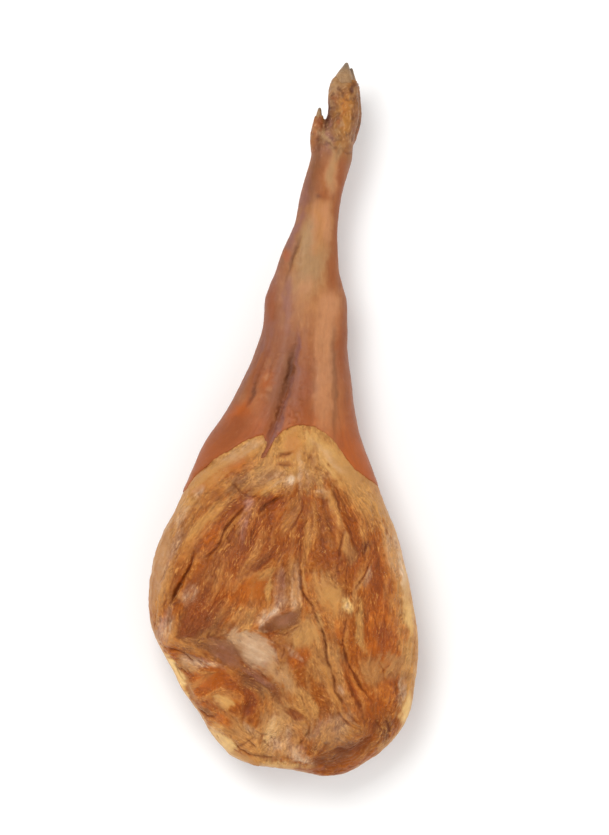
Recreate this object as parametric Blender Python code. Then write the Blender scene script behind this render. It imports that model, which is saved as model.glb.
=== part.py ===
"""A whole dry-cured ham on the bone, lying on its skin side with the trimmed face up.

Run with blender --background --python part.py (Blender 4.5, metres, +Z up). +Y runs
from the butt to the claws and -X is the heel's side. The origin is on the ground below
the middle of the ham's length and width. The ham is one piece: its leg, foot, claws and
dewclaws are grown together, so they are joined into one solid.
"""

import math
from collections import namedtuple

import bmesh
import bpy
import numpy as np

# ---------------------------------------------------------------- driving dimensions
LENGTH = 0.780  # from the claw's tip to the butt
MM = LENGTH / 800  # the tables below are in millimetres of an 800 mm ham

RING_SPACING = 10.0  # along the leg
FACE_COLUMNS = 26  # ring points over the trimmed face
SKIN_COLUMNS = 14  # ring points under the skin side

# ---------------------------------------------------------------- the leg's sections
# Across the leg at each place along it: the two edges, the lowest and highest point,
# and the height of the widest line, where the face turns into the skin side. A lowest
# point below 0 is pressed flat at 0: that is the patch that the ham rests on.
Section = namedtuple("Section", "along left right under top rim")
LEG = (
    Section(-400.0, 42, 56, 46, 64, 55),
    Section(-397.5, 29, 70, 35, 73, 55),
    Section(-392.5, 6, 80, 27, 79, 55),
    Section(-389.0, -27, 86, 22, 84, 55),
    Section(-384.0, -47, 93, 17, 89, 55),
    Section(-376.0, -61, 106, 10, 95, 56),
    Section(-362.0, -74, 121, 4, 102, 57),
    Section(-345.0, -86, 134, 0, 108, 58),
    Section(-326.0, -97, 143, -3, 113, 59),
    Section(-303.0, -114, 147, -4, 118, 60),
    Section(-280.0, -125, 150, -4, 122, 61),
    Section(-255.0, -139, 151.5, -4, 126, 62),
    Section(-228.0, -150, 149, -4, 129, 63),
    Section(-198.0, -151.5, 144, -4, 132, 64),
    Section(-165.0, -148, 137, -4, 133, 64),
    Section(-130.0, -137, 128, -3, 131, 63),
    Section(-95.0, -119, 114, -1, 127, 62),
    Section(-60.0, -104, 101, 2, 121, 61),
    Section(-25.0, -88, 88, 6, 114, 60),
    Section(10.0, -65, 80, 11, 107, 60),
    Section(45.0, -46, 76, 18, 101, 60),
    Section(80.0, -31, 72, 24, 96, 61),
    Section(110.0, -22.5, 72, 29, 92, 62),
    Section(138.0, -21, 70.5, 34, 90, 63),
    Section(162.0, -11, 63, 38, 88, 64),
    Section(190.0, -1, 61, 42, 87, 66),
    Section(220.0, 12, 61, 45, 86, 67),
    Section(250.0, 18, 65, 46, 87, 68),
    Section(275.0, 25, 71.5, 45, 91, 69),
    Section(292.0, 30, 77, 44, 95, 70),
    Section(306.0, 32, 78, 42, 98, 71),
    Section(320.0, 42, 80, 42, 99, 71),
    Section(334.0, 47, 82, 43, 98, 71),
    Section(346.0, 51, 83, 48, 94, 71),
    Section(353.0, 57, 79, 57, 85, 71),
)

# The foot's two toes lie one above the other, flat side to flat side. Each row is a place
# along the toe with its two edges and its thickness; the horn claw is its narrowing end.
Toe = namedtuple("Toe", "along left right thick")
TOE = (
    Toe(300, 54, 70, 12),
    Toe(312, 50, 76, 20),
    Toe(328, 49, 82, 24),
    Toe(346, 49.5, 85, 26),
    Toe(362, 49.5, 84, 26),
    Toe(373, 51, 83, 25),
    Toe(380, 54, 82, 24),
    Toe(388, 60, 80, 20),
    Toe(395, 65.5, 77.5, 14),
    Toe(400, 69, 74, 7),
)
CLEFT_HEIGHT = 71.0  # of the cleft between the toes
CLEFT_GAP = 1.6
FAR_TOE_SHIFT = (3.0, -3.5)  # the lower toe lies this much further across and back

# Two dewclaws stand out behind the fetlock, each a small toe with a horn tip.
Dewclaw = namedtuple("Dewclaw", "along across wide")
DEWCLAW = (
    Dewclaw(290, 42, 8),
    Dewclaw(299, 39, 15),
    Dewclaw(310, 37.5, 16.5),
    Dewclaw(324, 38, 14.5),
    Dewclaw(335, 39, 12),
    Dewclaw(343, 40, 8.5),
    Dewclaw(349, 40.5, 4),
)
DEWCLAW_HEIGHTS = (81.0, 60.0)
FAR_DEWCLAW_SHIFT = (0.5, -3.0)

# ---------------------------------------------------------------- relief of the face
# Muscle mounds and hollows: middle, half-length, half-width, turn from +Y towards -X.
Mound = namedtuple("Mound", "across along half_long half_wide turn height")
MOUNDS = (
    Mound(-112, -150, 85, 30, -22, 5.0),  # rump muscle beside its deep crease
    Mound(-62, -175, 60, 26, -30, 3.5),
    Mound(98, -200, 95, 30, 8, 5.0),  # flank muscle
    Mound(62, -135, 45, 18, 10, 2.5),
    Mound(30, -35, 34, 30, 20, 4.0),  # fat lobe under the skin's cut edge
    Mound(-48, -50, 50, 16, -55, 3.0),
    Mound(2, -165, 60, 18, -4, -6.0),  # hollow where the hip bone was lifted out
    Mound(-28, -258, 44, 20, 50, 3.0),  # cut face of the hip bone
    Mound(-45, -292, 42, 14, 55, -4.5),
    Mound(62, -352, 36, 26, -70, 8.0),  # seat bone
    Mound(-74, -240, 40, 20, 60, -4.0),
    Mound(20, -320, 60, 26, 80, -3.0),
    Mound(-60, -345, 40, 20, 50, 3.5),
)

# Creases: points along the bottom, half-width and depth at the middle.
Crease = namedtuple("Crease", "half_wide depth points")
CREASES = (
    Crease(6.0, 7.0, ((13, 98), (12, 72), (6, 48), (0, 22), (-8, 0), (-22, -34), (-30, -52))),
    Crease(5.0, 3.0, ((-8, 90), (-22, 62), (-32, 36), (-42, 14))),
    Crease(4.5, 2.5, ((58, 118), (57, 70), (61, 20), (60, -10))),
    Crease(5.0, 6.5, ((-97, -146), (-106, -172), (-125, -205))),
    Crease(4.5, 4.0, ((-42, -96), (-64, -122), (-80, -144))),
    Crease(5.0, 5.0, ((20, -160), (24, -196), (40, -228), (46, -262), (57, -300), (70, -318))),
    Crease(5.0, 5.0, ((66, -248), (73, -278), (92, -304))),
    Crease(4.5, 4.0, ((68, -284), (78, -306), (90, -326))),
    Crease(4.5, 4.0, ((-138, -246), (-118, -254), (-100, -268))),
)


# ---------------------------------------------------------------- curves and sections
def smooth_rows(rows, spacing):
    """Rows on a smooth curve through the given ones, about this far apart along the leg."""
    keys = np.array(rows, float)
    knots = np.concatenate([[0], np.cumsum(np.linalg.norm(np.diff(keys, axis=0), axis=1) ** 0.5)])
    slopes = np.diff(keys, axis=0) / np.diff(knots)[:, None]
    before, after = np.diff(knots)[:-1, None], np.diff(knots)[1:, None]
    inner = (slopes[:-1] * after + slopes[1:] * before) / (before + after)
    tangents = np.vstack([slopes[:1], inner, slopes[-1:]])
    made = []
    for i, span in enumerate(np.diff(knots)):
        steps = max(1, round(abs(keys[i + 1, 0] - keys[i, 0]) / spacing))
        for t in np.arange(steps) / steps:
            start = (1 + 2 * t) * (1 - t) ** 2 * keys[i] + t * (1 - t) ** 2 * span * tangents[i]
            end = t * t * (3 - 2 * t) * keys[i + 1] + t * t * (t - 1) * span * tangents[i + 1]
            made.append(start + end)
    made.append(keys[-1])
    return made


def rounded(value, power):
    """A cosine or sine, pushed outwards so that a circle becomes a rounded box."""
    return math.copysign(abs(value) ** (2 / power), value)


def ring_angles(over, under):
    """Angles round a section, with one count of points over it and another under it."""
    upper = [math.pi * i / over for i in range(over)]
    return upper + [math.pi + math.pi * i / under for i in range(under)]


def distance_to_path(points, x, y):
    """How far a place is from a line of points, in plan, and how far along the line it is."""
    ends = np.array(points, float)
    best, share = 1e9, 0.0
    for i, (a, b) in enumerate(zip(ends, ends[1:])):
        run = b - a
        t = min(1.0, max(0.0, float(np.dot((x, y) - a, run) / np.dot(run, run))))
        gap = float(np.linalg.norm((x, y) - (a + t * run)))
        if gap < best:
            best, share = gap, (i + t) / (len(ends) - 1)
    return best, share


def face_relief(x, y):
    """Height of the mounds and creases at a place on the face, in table millimetres."""
    height = 0.0
    for m in MOUNDS:
        c, s = math.cos(math.radians(m.turn)), math.sin(math.radians(m.turn))
        across, along = x - m.across, y - m.along
        u = (along * c - across * s) / m.half_long
        v = (across * c + along * s) / m.half_wide
        height += m.height * math.exp(-(u * u + v * v))
    for crease in CREASES:
        gap, share = distance_to_path(crease.points, x, y)
        fade = math.sin(math.pi * (0.08 + 0.84 * share)) ** 0.6
        height -= crease.depth * fade * math.exp(-((gap / crease.half_wide) ** 2))
    return height


# ---------------------------------------------------------------- solids
def loft(name, rings, collection):
    """A closed object skinned over rings of points, with a fan of faces over each end."""
    mesh = bpy.data.meshes.new(name)
    bm = bmesh.new()
    rows = [[bm.verts.new([c * MM for c in point]) for point in ring] for ring in rings]
    for row, following in zip(rows, rows[1:]):
        for i in range(len(row)):
            j = (i + 1) % len(row)
            bm.faces.new((row[i], row[j], following[j], following[i]))
    for row in (rows[0], rows[-1]):
        middle = sum((v.co for v in row), row[0].co * 0) / len(row)
        tip = bm.verts.new(middle)
        for i in range(len(row)):
            bm.faces.new((row[i], row[(i + 1) % len(row)], tip))
    bmesh.ops.recalc_face_normals(bm, faces=bm.faces[:])
    bm.to_mesh(mesh)
    bm.free()
    obj = bpy.data.objects.new(name, mesh)
    collection.objects.link(obj)
    return obj


def leg_rings():
    """The leg from the butt to the fetlock, with the relief of its face."""
    rings = []
    for row in smooth_rows(LEG, RING_SPACING):
        s = Section(*row)
        middle, half = (s.left + s.right) / 2, (s.right - s.left) / 2
        shank = min(1.0, max(0.0, (s.along + 40) / 160))  # 0 on the body, 1 on the shank
        foot = min(1.0, max(0.0, (s.along - 285) / 35))  # 1 where the toes set on
        over_power = 2.4 - 0.3 * shank + 0.7 * foot
        under_power = 1.9 + 0.2 * shank + 0.7 * foot
        ring = []
        for angle in ring_angles(FACE_COLUMNS, SKIN_COLUMNS):
            c, sn = math.cos(angle), math.sin(angle)
            power = over_power if sn >= 0 else under_power
            x = middle + half * rounded(c, power)
            reach = s.top - s.rim if sn >= 0 else s.rim - s.under
            z = s.rim + reach * rounded(sn, power)
            if sn > 0:
                z += face_relief(x, s.along) * min(1.0, (z - s.rim) / (0.6 * reach))
            ring.append((x, s.along, max(z, 0.0)))
        rings.append(ring)
    return rings


def toe_rings(side, shift):
    """One toe with its claw, above the cleft for side 1 and below it for side -1."""
    rings = []
    for row in smooth_rows(TOE, 7.0):
        t = Toe(*row)
        middle, half = (t.left + t.right) / 2, (t.right - t.left) / 2
        height = CLEFT_HEIGHT + side * (CLEFT_GAP + t.thick) / 2
        rings.append([
            (middle + shift[0] + half * rounded(math.cos(a), 2.3),
             t.along + shift[1],
             height + t.thick / 2 * rounded(math.sin(a), 2.3))
            for a in ring_angles(9, 9)
        ])
    return rings


def dewclaw_rings(height, shift):
    """One dewclaw, round in section and tapering to its horn tip."""
    rings = []
    for row in smooth_rows(DEWCLAW, 7.0):
        d = Dewclaw(*row)
        rings.append([
            (d.across + shift[0] + d.wide / 2 * math.cos(a),
             d.along + shift[1],
             height + d.wide / 2 * math.sin(a))
            for a in ring_angles(6, 6)
        ])
    return rings


def cured_surface():
    """Waxy red-brown finish of the dried ham."""
    material = bpy.data.materials.new("cured ham")
    material.use_nodes = True
    surface = material.node_tree.nodes["Principled BSDF"]
    surface.inputs["Base Color"].default_value = (0.47, 0.21, 0.07, 1)
    surface.inputs["Roughness"].default_value = 0.5
    return material


def join(whole, part):
    """Joins a grown-on part to the ham and hides the part on its own."""
    union = whole.modifiers.new(part.name, "BOOLEAN")
    union.operation = "UNION"
    union.solver = "EXACT"
    union.object = part
    part.hide_render = True
    part.display_type = "WIRE"


def stand_over_origin(objects, whole):
    """Moves everything so that the ham's base centre is at the origin."""
    bpy.context.view_layer.update()
    evaluated = whole.evaluated_get(bpy.context.evaluated_depsgraph_get())
    corners = np.array([tuple(corner) for corner in evaluated.bound_box])
    low, high = corners.min(0), corners.max(0)
    for obj in objects:
        obj.location = (-(low[0] + high[0]) / 2, -(low[1] + high[1]) / 2, -low[2])


def main():
    for obj in list(bpy.data.objects):
        bpy.data.objects.remove(obj)
    parts = bpy.data.collections.new("cured_ham")
    helpers = bpy.data.collections.new("joined_parts")
    for collection in (parts, helpers):
        bpy.context.scene.collection.children.link(collection)

    ham = loft("ham", leg_rings(), parts)
    grown_on = []
    shifts = ((0.0, 0.0), FAR_TOE_SHIFT)
    for n, (side, shift) in enumerate(zip((1, -1), shifts), 1):
        grown_on.append(loft(f"toe_{n}", toe_rings(side, shift), helpers))
    shifts = ((0.0, 0.0), FAR_DEWCLAW_SHIFT)
    for n, (height, shift) in enumerate(zip(DEWCLAW_HEIGHTS, shifts), 1):
        grown_on.append(loft(f"dewclaw_{n}", dewclaw_rings(height, shift), helpers))
    for part in grown_on:
        part.data.shade_smooth()
        join(ham, part)
    ham.data.materials.append(cured_surface())
    ham.data.shade_smooth()
    ham.data.set_sharp_from_angle(angle=math.radians(50))
    stand_over_origin([ham, *grown_on], ham)


main()
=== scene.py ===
"""The looks of a whole dry-cured ham, lying with its trimmed face up.

The ham is built over its packed CAD model, in metres, with +Y towards the claws, -X
towards the heel's point and +Z out of the face. Three groups of pieces make it: the
trimmed face of lean, fat and bone, the skin that wraps the shank, the foot and the
underside up to its cut edge, and the horn of the claws. Places in the tables below are
in millimetres of a ham 800 mm long, seen from above, with the origin under its middle.
"""

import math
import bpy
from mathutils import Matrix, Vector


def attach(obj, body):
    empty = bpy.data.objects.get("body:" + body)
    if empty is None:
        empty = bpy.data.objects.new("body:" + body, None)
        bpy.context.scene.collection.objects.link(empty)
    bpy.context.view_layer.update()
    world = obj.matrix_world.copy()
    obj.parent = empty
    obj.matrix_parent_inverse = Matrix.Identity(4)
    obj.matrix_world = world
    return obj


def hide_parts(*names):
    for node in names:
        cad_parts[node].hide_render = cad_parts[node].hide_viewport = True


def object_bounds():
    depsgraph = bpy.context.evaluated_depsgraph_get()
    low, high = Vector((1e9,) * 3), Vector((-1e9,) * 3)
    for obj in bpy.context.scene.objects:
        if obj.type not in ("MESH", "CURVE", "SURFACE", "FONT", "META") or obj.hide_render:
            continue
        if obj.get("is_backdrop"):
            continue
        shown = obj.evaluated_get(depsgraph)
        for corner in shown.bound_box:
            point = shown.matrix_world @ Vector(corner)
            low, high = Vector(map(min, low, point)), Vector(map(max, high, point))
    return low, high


bl_info = {
    "name": "Cured Ham",
    "version": (1, 0, 0),
    "blender": (4, 5, 0),
    "location": "3D Viewport > Sidebar > Ham",
    "description": "Builds a whole dry-cured ham with its face, skin, claws and stage",
    "category": "Add Mesh",
}

from collections import namedtuple
from itertools import product

import bpy
import numpy as np
from bpy.props import FloatProperty, FloatVectorProperty, IntProperty, PointerProperty
from mathutils import Vector

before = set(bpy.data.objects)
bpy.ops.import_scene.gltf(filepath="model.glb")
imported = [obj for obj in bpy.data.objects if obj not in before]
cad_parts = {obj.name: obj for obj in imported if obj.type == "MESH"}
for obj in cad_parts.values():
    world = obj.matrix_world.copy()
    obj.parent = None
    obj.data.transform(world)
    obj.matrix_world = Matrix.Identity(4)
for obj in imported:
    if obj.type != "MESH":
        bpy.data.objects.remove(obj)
CAD_BOX = [tuple(corner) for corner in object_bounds()]
MM = (CAD_BOX[1][1] - CAD_BOX[0][1]) / 800  # one table millimetre, in metres


def rgb(red, green, blue):
    """A linear colour from its everyday 0 to 255 values."""
    return tuple((c / 255 / 12.92) if c < 11 else ((c / 255 + 0.055) / 1.055) ** 2.4
                 for c in (red, green, blue))


# ---------------------------------------------------------------- what lies where
# A patch of one pigment: its middle, half-length, half-width, lean of its long side
# (positive leans like a slash), and how fully it covers.
Patch = namedtuple("Patch", "pigment x y long wide lean cover")
FACE_PATCHES = (
    # broad washes
    Patch("fat", -100, -104, 56, 28, 38, 0.55),
    Patch("tan", -134, -160, 72, 16, 8, 0.7),
    Patch("tan", -4, -62, 66, 18, 88, 0.7),
    Patch("pale", 0, -64, 50, 10, 88, 0.35),
    Patch("fat", 92, -84, 50, 22, -36, 0.75),
    Patch("fat", 130, -180, 84, 18, -8, 0.8),
    Patch("amber", 110, -206, 66, 20, 0, 0.65),
    Patch("lean", -66, -190, 52, 36, 30, 0.8),
    Patch("red", -84, -186, 30, 20, 30, 0.4),
    Patch("umber", -60, -150, 40, 16, 30, 0.35),
    Patch("lean", 60, -140, 46, 34, -8, 0.5),
    Patch("red", -42, -132, 50, 36, 10, 0.45),
    Patch("red", -30, -152, 34, 22, 40, 0.5),
    Patch("amber", -58, -188, 46, 34, 30, 0.35),
    Patch("red", 12, -126, 40, 26, 0, 0.35),
    Patch("red", 86, -134, 40, 24, -14, 0.35),
    Patch("umber", -88, -184, 30, 14, 30, 0.35),
    Patch("red", -66, -180, 40, 18, 30, 0.35),
    Patch("fat", 48, -196, 36, 22, -10, 0.45),
    Patch("fat", 34, -250, 46, 22, -20, 0.45),
    Patch("umber", -84, -240, 50, 22, -74, 0.65),
    Patch("umber", -24, -298, 46, 14, -60, 0.55),
    Patch("amber", -82, -296, 38, 24, 50, 0.6),
    Patch("tan", -8, -350, 40, 26, 10, 0.7),
    Patch("pale", -10, -348, 26, 16, 20, 0.4),
    Patch("fat", -50, -352, 46, 18, -56, 0.5),
    Patch("tan", 56, -286, 56, 18, -24, 0.35),
    Patch("umber", 60, -354, 34, 32, 70, 0.6),
    Patch("lean", 104, -300, 46, 26, 0, 0.6),
    Patch("fat", 139, -290, 90, 10, 2, 0.8),
    # upper left: fat over the knuckle side
    Patch("tan", -66, -50, 46, 7, 60, 0.7),
    Patch("amber", -66, -62, 44, 9, 60, 0.45),
    Patch("fat", -74, -76, 20, 10, 50, 0.7),
    Patch("amber", -74, -77, 14, 8, 50, 0.4),
    Patch("amber", -52, -46, 10, 6, 50, 0.5),
    Patch("pale", -95, -79, 9, 4, 35, 0.85),
    # The pale streak at (-111, -104) is a painted highlight on the left edge.
    Patch("pale", -111, -104, 14, 5, 32, 0.45),
    Patch("pale", -118, -115, 8, 3, 30, 0.5),
    Patch("pale", -122, -140, 20, 5, 18, 0.7),
    Patch("pale", -134, -166, 30, 7, 8, 0.5),
    Patch("lean", -84, -94, 26, 8, 46, 0.6),
    Patch("fat", -90, -112, 30, 5, 42, 0.6),
    Patch("fat", -70, -98, 26, 4, 44, 0.5),
    Patch("umber", -42, -70, 20, 11, 62, 0.7),
    Patch("dark", -36, -84, 12, 4, 66, 0.5),
    Patch("fat", -12, -74, 22, 5, 62, 0.75),
    Patch("pale", -10, -72, 14, 2, 62, 0.4),
    Patch("red", -13, -91, 13, 8, 60, 0.85),
    Patch("dark", -22, -96, 6, 3, 30, 0.7),
    Patch("violet", -38, -94, 9, 6, 35, 0.75),
    Patch("violet", -42, -110, 26, 6, 10, 0.65),
    Patch("red", -66, -108, 34, 7, 40, 0.5),
    Patch("amber", -80, -132, 20, 9, 35, 0.6),
    Patch("red", -108, -158, 36, 8, 28, 0.6),
    Patch("pale", -104, -193, 13, 8, 35, 0.7),
    Patch("red", -86, -206, 16, 9, 20, 0.7),
    Patch("tan", -70, -212, 26, 9, 60, 0.45),
    Patch("amber", -28, -184, 24, 14, 20, 0.5),
    Patch("fat", -20, -173, 14, 4, 66, 0.4),
    # The red and dark strips along the fold from (-10, -149) to (-42, -172) are painted shade beside that fold.
    Patch("red", -27, -159, 24, 6, 52, 0.95),
    Patch("dark", -26, -160, 14, 3, 52, 0.4),
    Patch("fat", -16, -187, 15, 4, 8, 0.75),
    # upper middle and right
    Patch("fat", 22, -40, 36, 26, -20, 0.8),
    Patch("amber", 12, -26, 14, 11, 5, 0.3),
    Patch("butter", 50, -40, 34, 12, -46, 0.25),
    Patch("tan", 74, -62, 30, 9, -40, 0.7),
    Patch("pale", 50, -42, 24, 4, -46, 0.4),
    Patch("pale", 18, -54, 22, 3, 4, 0.6),
    Patch("pale", 25, -62, 16, 2.5, -8, 0.5),
    Patch("umber", 30, -70, 12, 5, 20, 0.4),
    Patch("tan", -44, -34, 34, 8, 62, 0.7),
    Patch("pale", -42, -33, 30, 6, 62, 0.5),
    Patch("tan", 43, -80, 14, 6, -80, 0.7),
    Patch("pale", 44, -79, 10, 2, -85, 0.7),
    Patch("red", 2, -38, 12, 4, 70, 0.6),
    Patch("red", 2, -50, 12, 3, 88, 0.55),
    Patch("umber", -16, -60, 12, 5, 60, 0.5),
    # The pale and white spot at (7, -68) is a painted highlight, a glint on the fat.
    Patch("pale", 6, -68, 8, 5, 30, 0.85),
    Patch("white", 7, -68, 5, 4, 20, 0.9),
    Patch("red", 17, -125, 8, 6, 10, 0.8),
    Patch("fat", 8, -106, 24, 7, 24, 0.4),
    Patch("fat", 26, -134, 30, 5, 6, 0.4),
    Patch("umber", 45, -128, 26, 8, 0, 0.4),
    Patch("tan", 58, -98, 26, 5, -18, 0.65),
    Patch("tan", 73, -142, 16, 7, -8, 0.8),
    Patch("dark", 62, -154, 5, 3, 10, 0.85),
    Patch("dark", 92, -139, 8, 5, 35, 0.75),
    Patch("red", 60, -162, 18, 9, -6, 0.65),
    Patch("red", 46, -146, 20, 8, 0, 0.45),
    Patch("pale", 93, -174, 12, 3.5, 15, 0.7),
    Patch("tan", 80, -192, 26, 5, 12, 0.5),
    Patch("red", 109, -186, 24, 6, 4, 0.7),
    Patch("red", 117, -198, 18, 6, 4, 0.6),
    Patch("tan", 50, -190, 24, 13, -22, 0.6),
    Patch("fat", 52, -196, 20, 13, -22, 0.6),
    # The white fleck on this butter-yellow spot is a painted highlight.
    Patch("butter", 69, -206, 8, 7, -10, 0.7),
    Patch("white", 70, -207, 4, 2.5, -10, 0.4),
    Patch("tan", 108, -98, 26, 8, -32, 0.7),
    # Along the right rim the pale and white strips are painted highlights, and the butter yellow is partly the
    # rim's own fat and partly painted light that keeps the turned-away rim bright.
    Patch("pale", 122, -148, 34, 8, -12, 0.5),
    Patch("butter", 137, -200, 60, 5, -2, 0.35),
    Patch("pale", 132, -152, 44, 7, -8, 0.85),
    Patch("white", 133, -158, 30, 5, -5, 0.7),
    Patch("butter", 141, -228, 18, 6, 0, 0.5),
    # hollow of the hip
    Patch("lean", 8, -146, 22, 14, 0, 0.6),
    Patch("tan", 10, -186, 32, 15, 2, 0.7),
    Patch("pale", 14, -190, 26, 7, 6, 0.6),
    Patch("amber", -46, -200, 22, 18, 40, 0.5),
    Patch("tan", -42, -218, 18, 14, 60, 0.6),
    Patch("fat", -20, -169, 13, 4, 72, 0.6),
    Patch("fat", -14, -184, 12, 3, 4, 0.7),
    Patch("pale", -5, -186, 24, 6, 10, 0.5),
    Patch("violet", -3, -184, 19, 4, 10, 0.75),
    Patch("pale", -14, -212, 24, 9, 48, 0.75),
    Patch("white", -13, -213, 18, 3.4, 50, 0.6),
    Patch("white", -24, -228, 8, 3, 25, 0.4),
    Patch("fat", -40, -229, 9, 5, 20, 0.6),
    Patch("tan", 22, -236, 25, 18, 60, 0.9),
    Patch("fat", 24, -238, 16, 11, 60, 0.4),
    Patch("umber", 3, -223, 18, 12, 62, 1.0),
    Patch("umber", -17, -230, 11, 7, 60, 0.9),
    Patch("dark", 1, -224, 17, 9, 62, 0.4),
    Patch("dark", -16, -231, 9, 4, 62, 0.4),
    Patch("violet", 5, -222, 12, 7, 65, 0.35),
    # cut plate of the hip bone
    Patch("bone", -30, -256, 36, 18, -57, 0.95),
    Patch("pale", -34, -252, 30, 14, -60, 0.65),
    Patch("white", -26, -260, 18, 5, -50, 0.25),
    Patch("violet", -16, -272, 10, 6, -50, 0.3),
    Patch("bone", -52, -240, 12, 6, 80, 0.8),
    Patch("tan", 2, -288, 26, 12, -40, 0.8),
    Patch("bone", 0, -286, 20, 8, -40, 0.4),
    Patch("tan", 26, -312, 20, 9, -28, 0.55),
    Patch("amber", 19, -264, 15, 9, 40, 0.75),
    Patch("red", 22, -266, 9, 5, 30, 0.5),
    Patch("pale", 10, -258, 14, 4, -50, 0.5),
    Patch("umber", -28, -294, 26, 11, -56, 0.85),
    Patch("dark", -30, -292, 22, 7, -56, 0.5),
    Patch("violet", -30, -284, 20, 5, -58, 0.5),
    # heel side, lower left
    Patch("umber", -66, -258, 30, 17, -52, 0.9),
    Patch("violet", -66, -258, 22, 11, -52, 0.5),
    Patch("dark", -90, -230, 32, 16, 50, 0.45),
    Patch("umber", -96, -238, 26, 12, 60, 0.4),
    Patch("red", -96, -224, 22, 12, 50, 0.5),
    Patch("red", -84, -208, 24, 12, 50, 0.5),
    Patch("pale", -131, -234, 20, 11, 12, 0.75),
    Patch("violet", -134, -226, 15, 5, 12, 0.5),
    Patch("tan", -106, -270, 14, 11, -40, 0.8),
    Patch("pale", -104, -270, 13, 8, -50, 0.6),
    Patch("violet", -92, -268, 24, 6, -72, 0.6),
    Patch("pale", -88, -271, 22, 4, -74, 0.7),
    Patch("amber", -84, -290, 20, 15, 60, 0.95),
    Patch("red", -78, -284, 14, 7, 60, 0.35),
    Patch("fat", -66, -312, 15, 9.5, -66, 0.85),
    Patch("butter", -66, -312, 12, 6, -66, 0.2),
    Patch("red", -38, -316, 15, 11, 15, 0.95),
    Patch("dark", -36, -314, 8, 5, 15, 0.3),
    Patch("red", -58, -294, 16, 6, 60, 0.4),
    Patch("tan", -104, -300, 22, 5, -28, 0.7),
    Patch("umber", -82, -327, 16, 4, -66, 0.9),
    Patch("dark", -84, -327, 12, 2.5, -66, 0.5),
    Patch("amber", -71, -334, 17, 6, -64, 0.95),
    # The pale and butter strip along the lower-left rim is partly the rim's own yellow fat and partly painted
    # light that brightens the turned-away rim.
    Patch("pale", -120, -288, 26, 4, -25, 0.8),
    Patch("butter", -118, -289, 34, 6, -25, 1.0),
    Patch("butter", -66, -362, 32, 9, -42, 0.85),
    Patch("pale", -72, -354, 20, 4, -42, 0.4),
    Patch("fat", -46, -378, 18, 7, -66, 0.85),
    Patch("tan", -40, -352, 24, 13, -52, 0.6),
    Patch("pale", -36, -346, 16, 4, -50, 0.35),
    Patch("tan", -28, -380, 14, 7, -80, 0.8),
    Patch("pale", -12, -342, 18, 9, 30, 0.35),
    Patch("butter", -14, -344, 18, 9, 30, 0.3),
    Patch("butter", 2, -386, 26, 5, -88, 0.5),
    # centre and right, low
    Patch("tan", 6, -346, 36, 16, -10, 0.6),
    Patch("fat", 26, -322, 26, 12, -24, 0.6),
    Patch("pale", 0, -364, 22, 8, -70, 0.5),
    Patch("pale", 4, -352, 16, 5, 20, 0.5),
    Patch("red", 11, -327, 10, 4, -60, 0.7),
    Patch("tan", 58, -268, 30, 8, -16, 0.6),
    Patch("pale", 64, -300, 8, 4, -25, 0.6),
    Patch("amber", 64, -230, 14, 11, -10, 0.85),
    Patch("red", 66, -232, 9, 6, -10, 0.4),
    Patch("amber", 110, -196, 22, 10, 0, 0.8),
    Patch("red", 112, -194, 16, 7, 0, 0.6),
    Patch("amber", 111, -240, 21, 19, 0, 1.0),
    Patch("red", 110, -240, 17, 13, 0, 0.8),
    Patch("fat", 86, -232, 32, 5, -4, 0.8),
    Patch("fat", 134, -238, 14, 9, 0, 0.8),
    Patch("amber", 134, -238, 12, 7, 0, 0.5),
    Patch("tan", 98, -279, 18, 14, -20, 0.6),
    Patch("tan", 127, -274, 14, 17, 0, 0.75),
    Patch("amber", 82, -304, 30, 7, -28, 0.9),
    Patch("red", 84, -312, 22, 5, -26, 0.7),
    Patch("amber", 110, -308, 18, 14, -10, 0.8),
    Patch("red", 104, -312, 12, 8, -10, 0.4),
    Patch("pale", 132, -304, 14, 5, 8, 0.8),
    Patch("white", 131, -298, 8, 2.5, 8, 0.35),
    Patch("butter", 139, -324, 20, 7, 15, 0.9),
    Patch("umber", 112, -346, 18, 9, 20, 0.7),
    Patch("dark", 116, -345, 12, 4, 20, 0.5),
    # seat bone and its rim
    Patch("bone", 56, -343, 28, 17, 70, 0.5),
    Patch("violet", 48, -342, 16, 12, 20, 0.5),
    Patch("umber", 48, -350, 16, 12, 20, 0.5),
    Patch("umber", 66, -370, 24, 8, 72, 0.8),
    Patch("dark", 66, -370, 18, 4, 72, 0.35),
    Patch("lean", 94, -364, 20, 9, 50, 0.85),
    Patch("dark", 38, -381, 10, 5, 60, 0.5),
    Patch("pale", 20, -376, 15, 7, -62, 0.7),
    Patch("white", 20, -378, 10, 3, -62, 0.4),
    Patch("violet", 20, -370, 8, 5, 0, 0.5),
    Patch("lean", 62, -390, 30, 6, 84, 0.7),
    Patch("fat", 118, -362, 24, 6, 50, 0.75),
)

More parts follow.
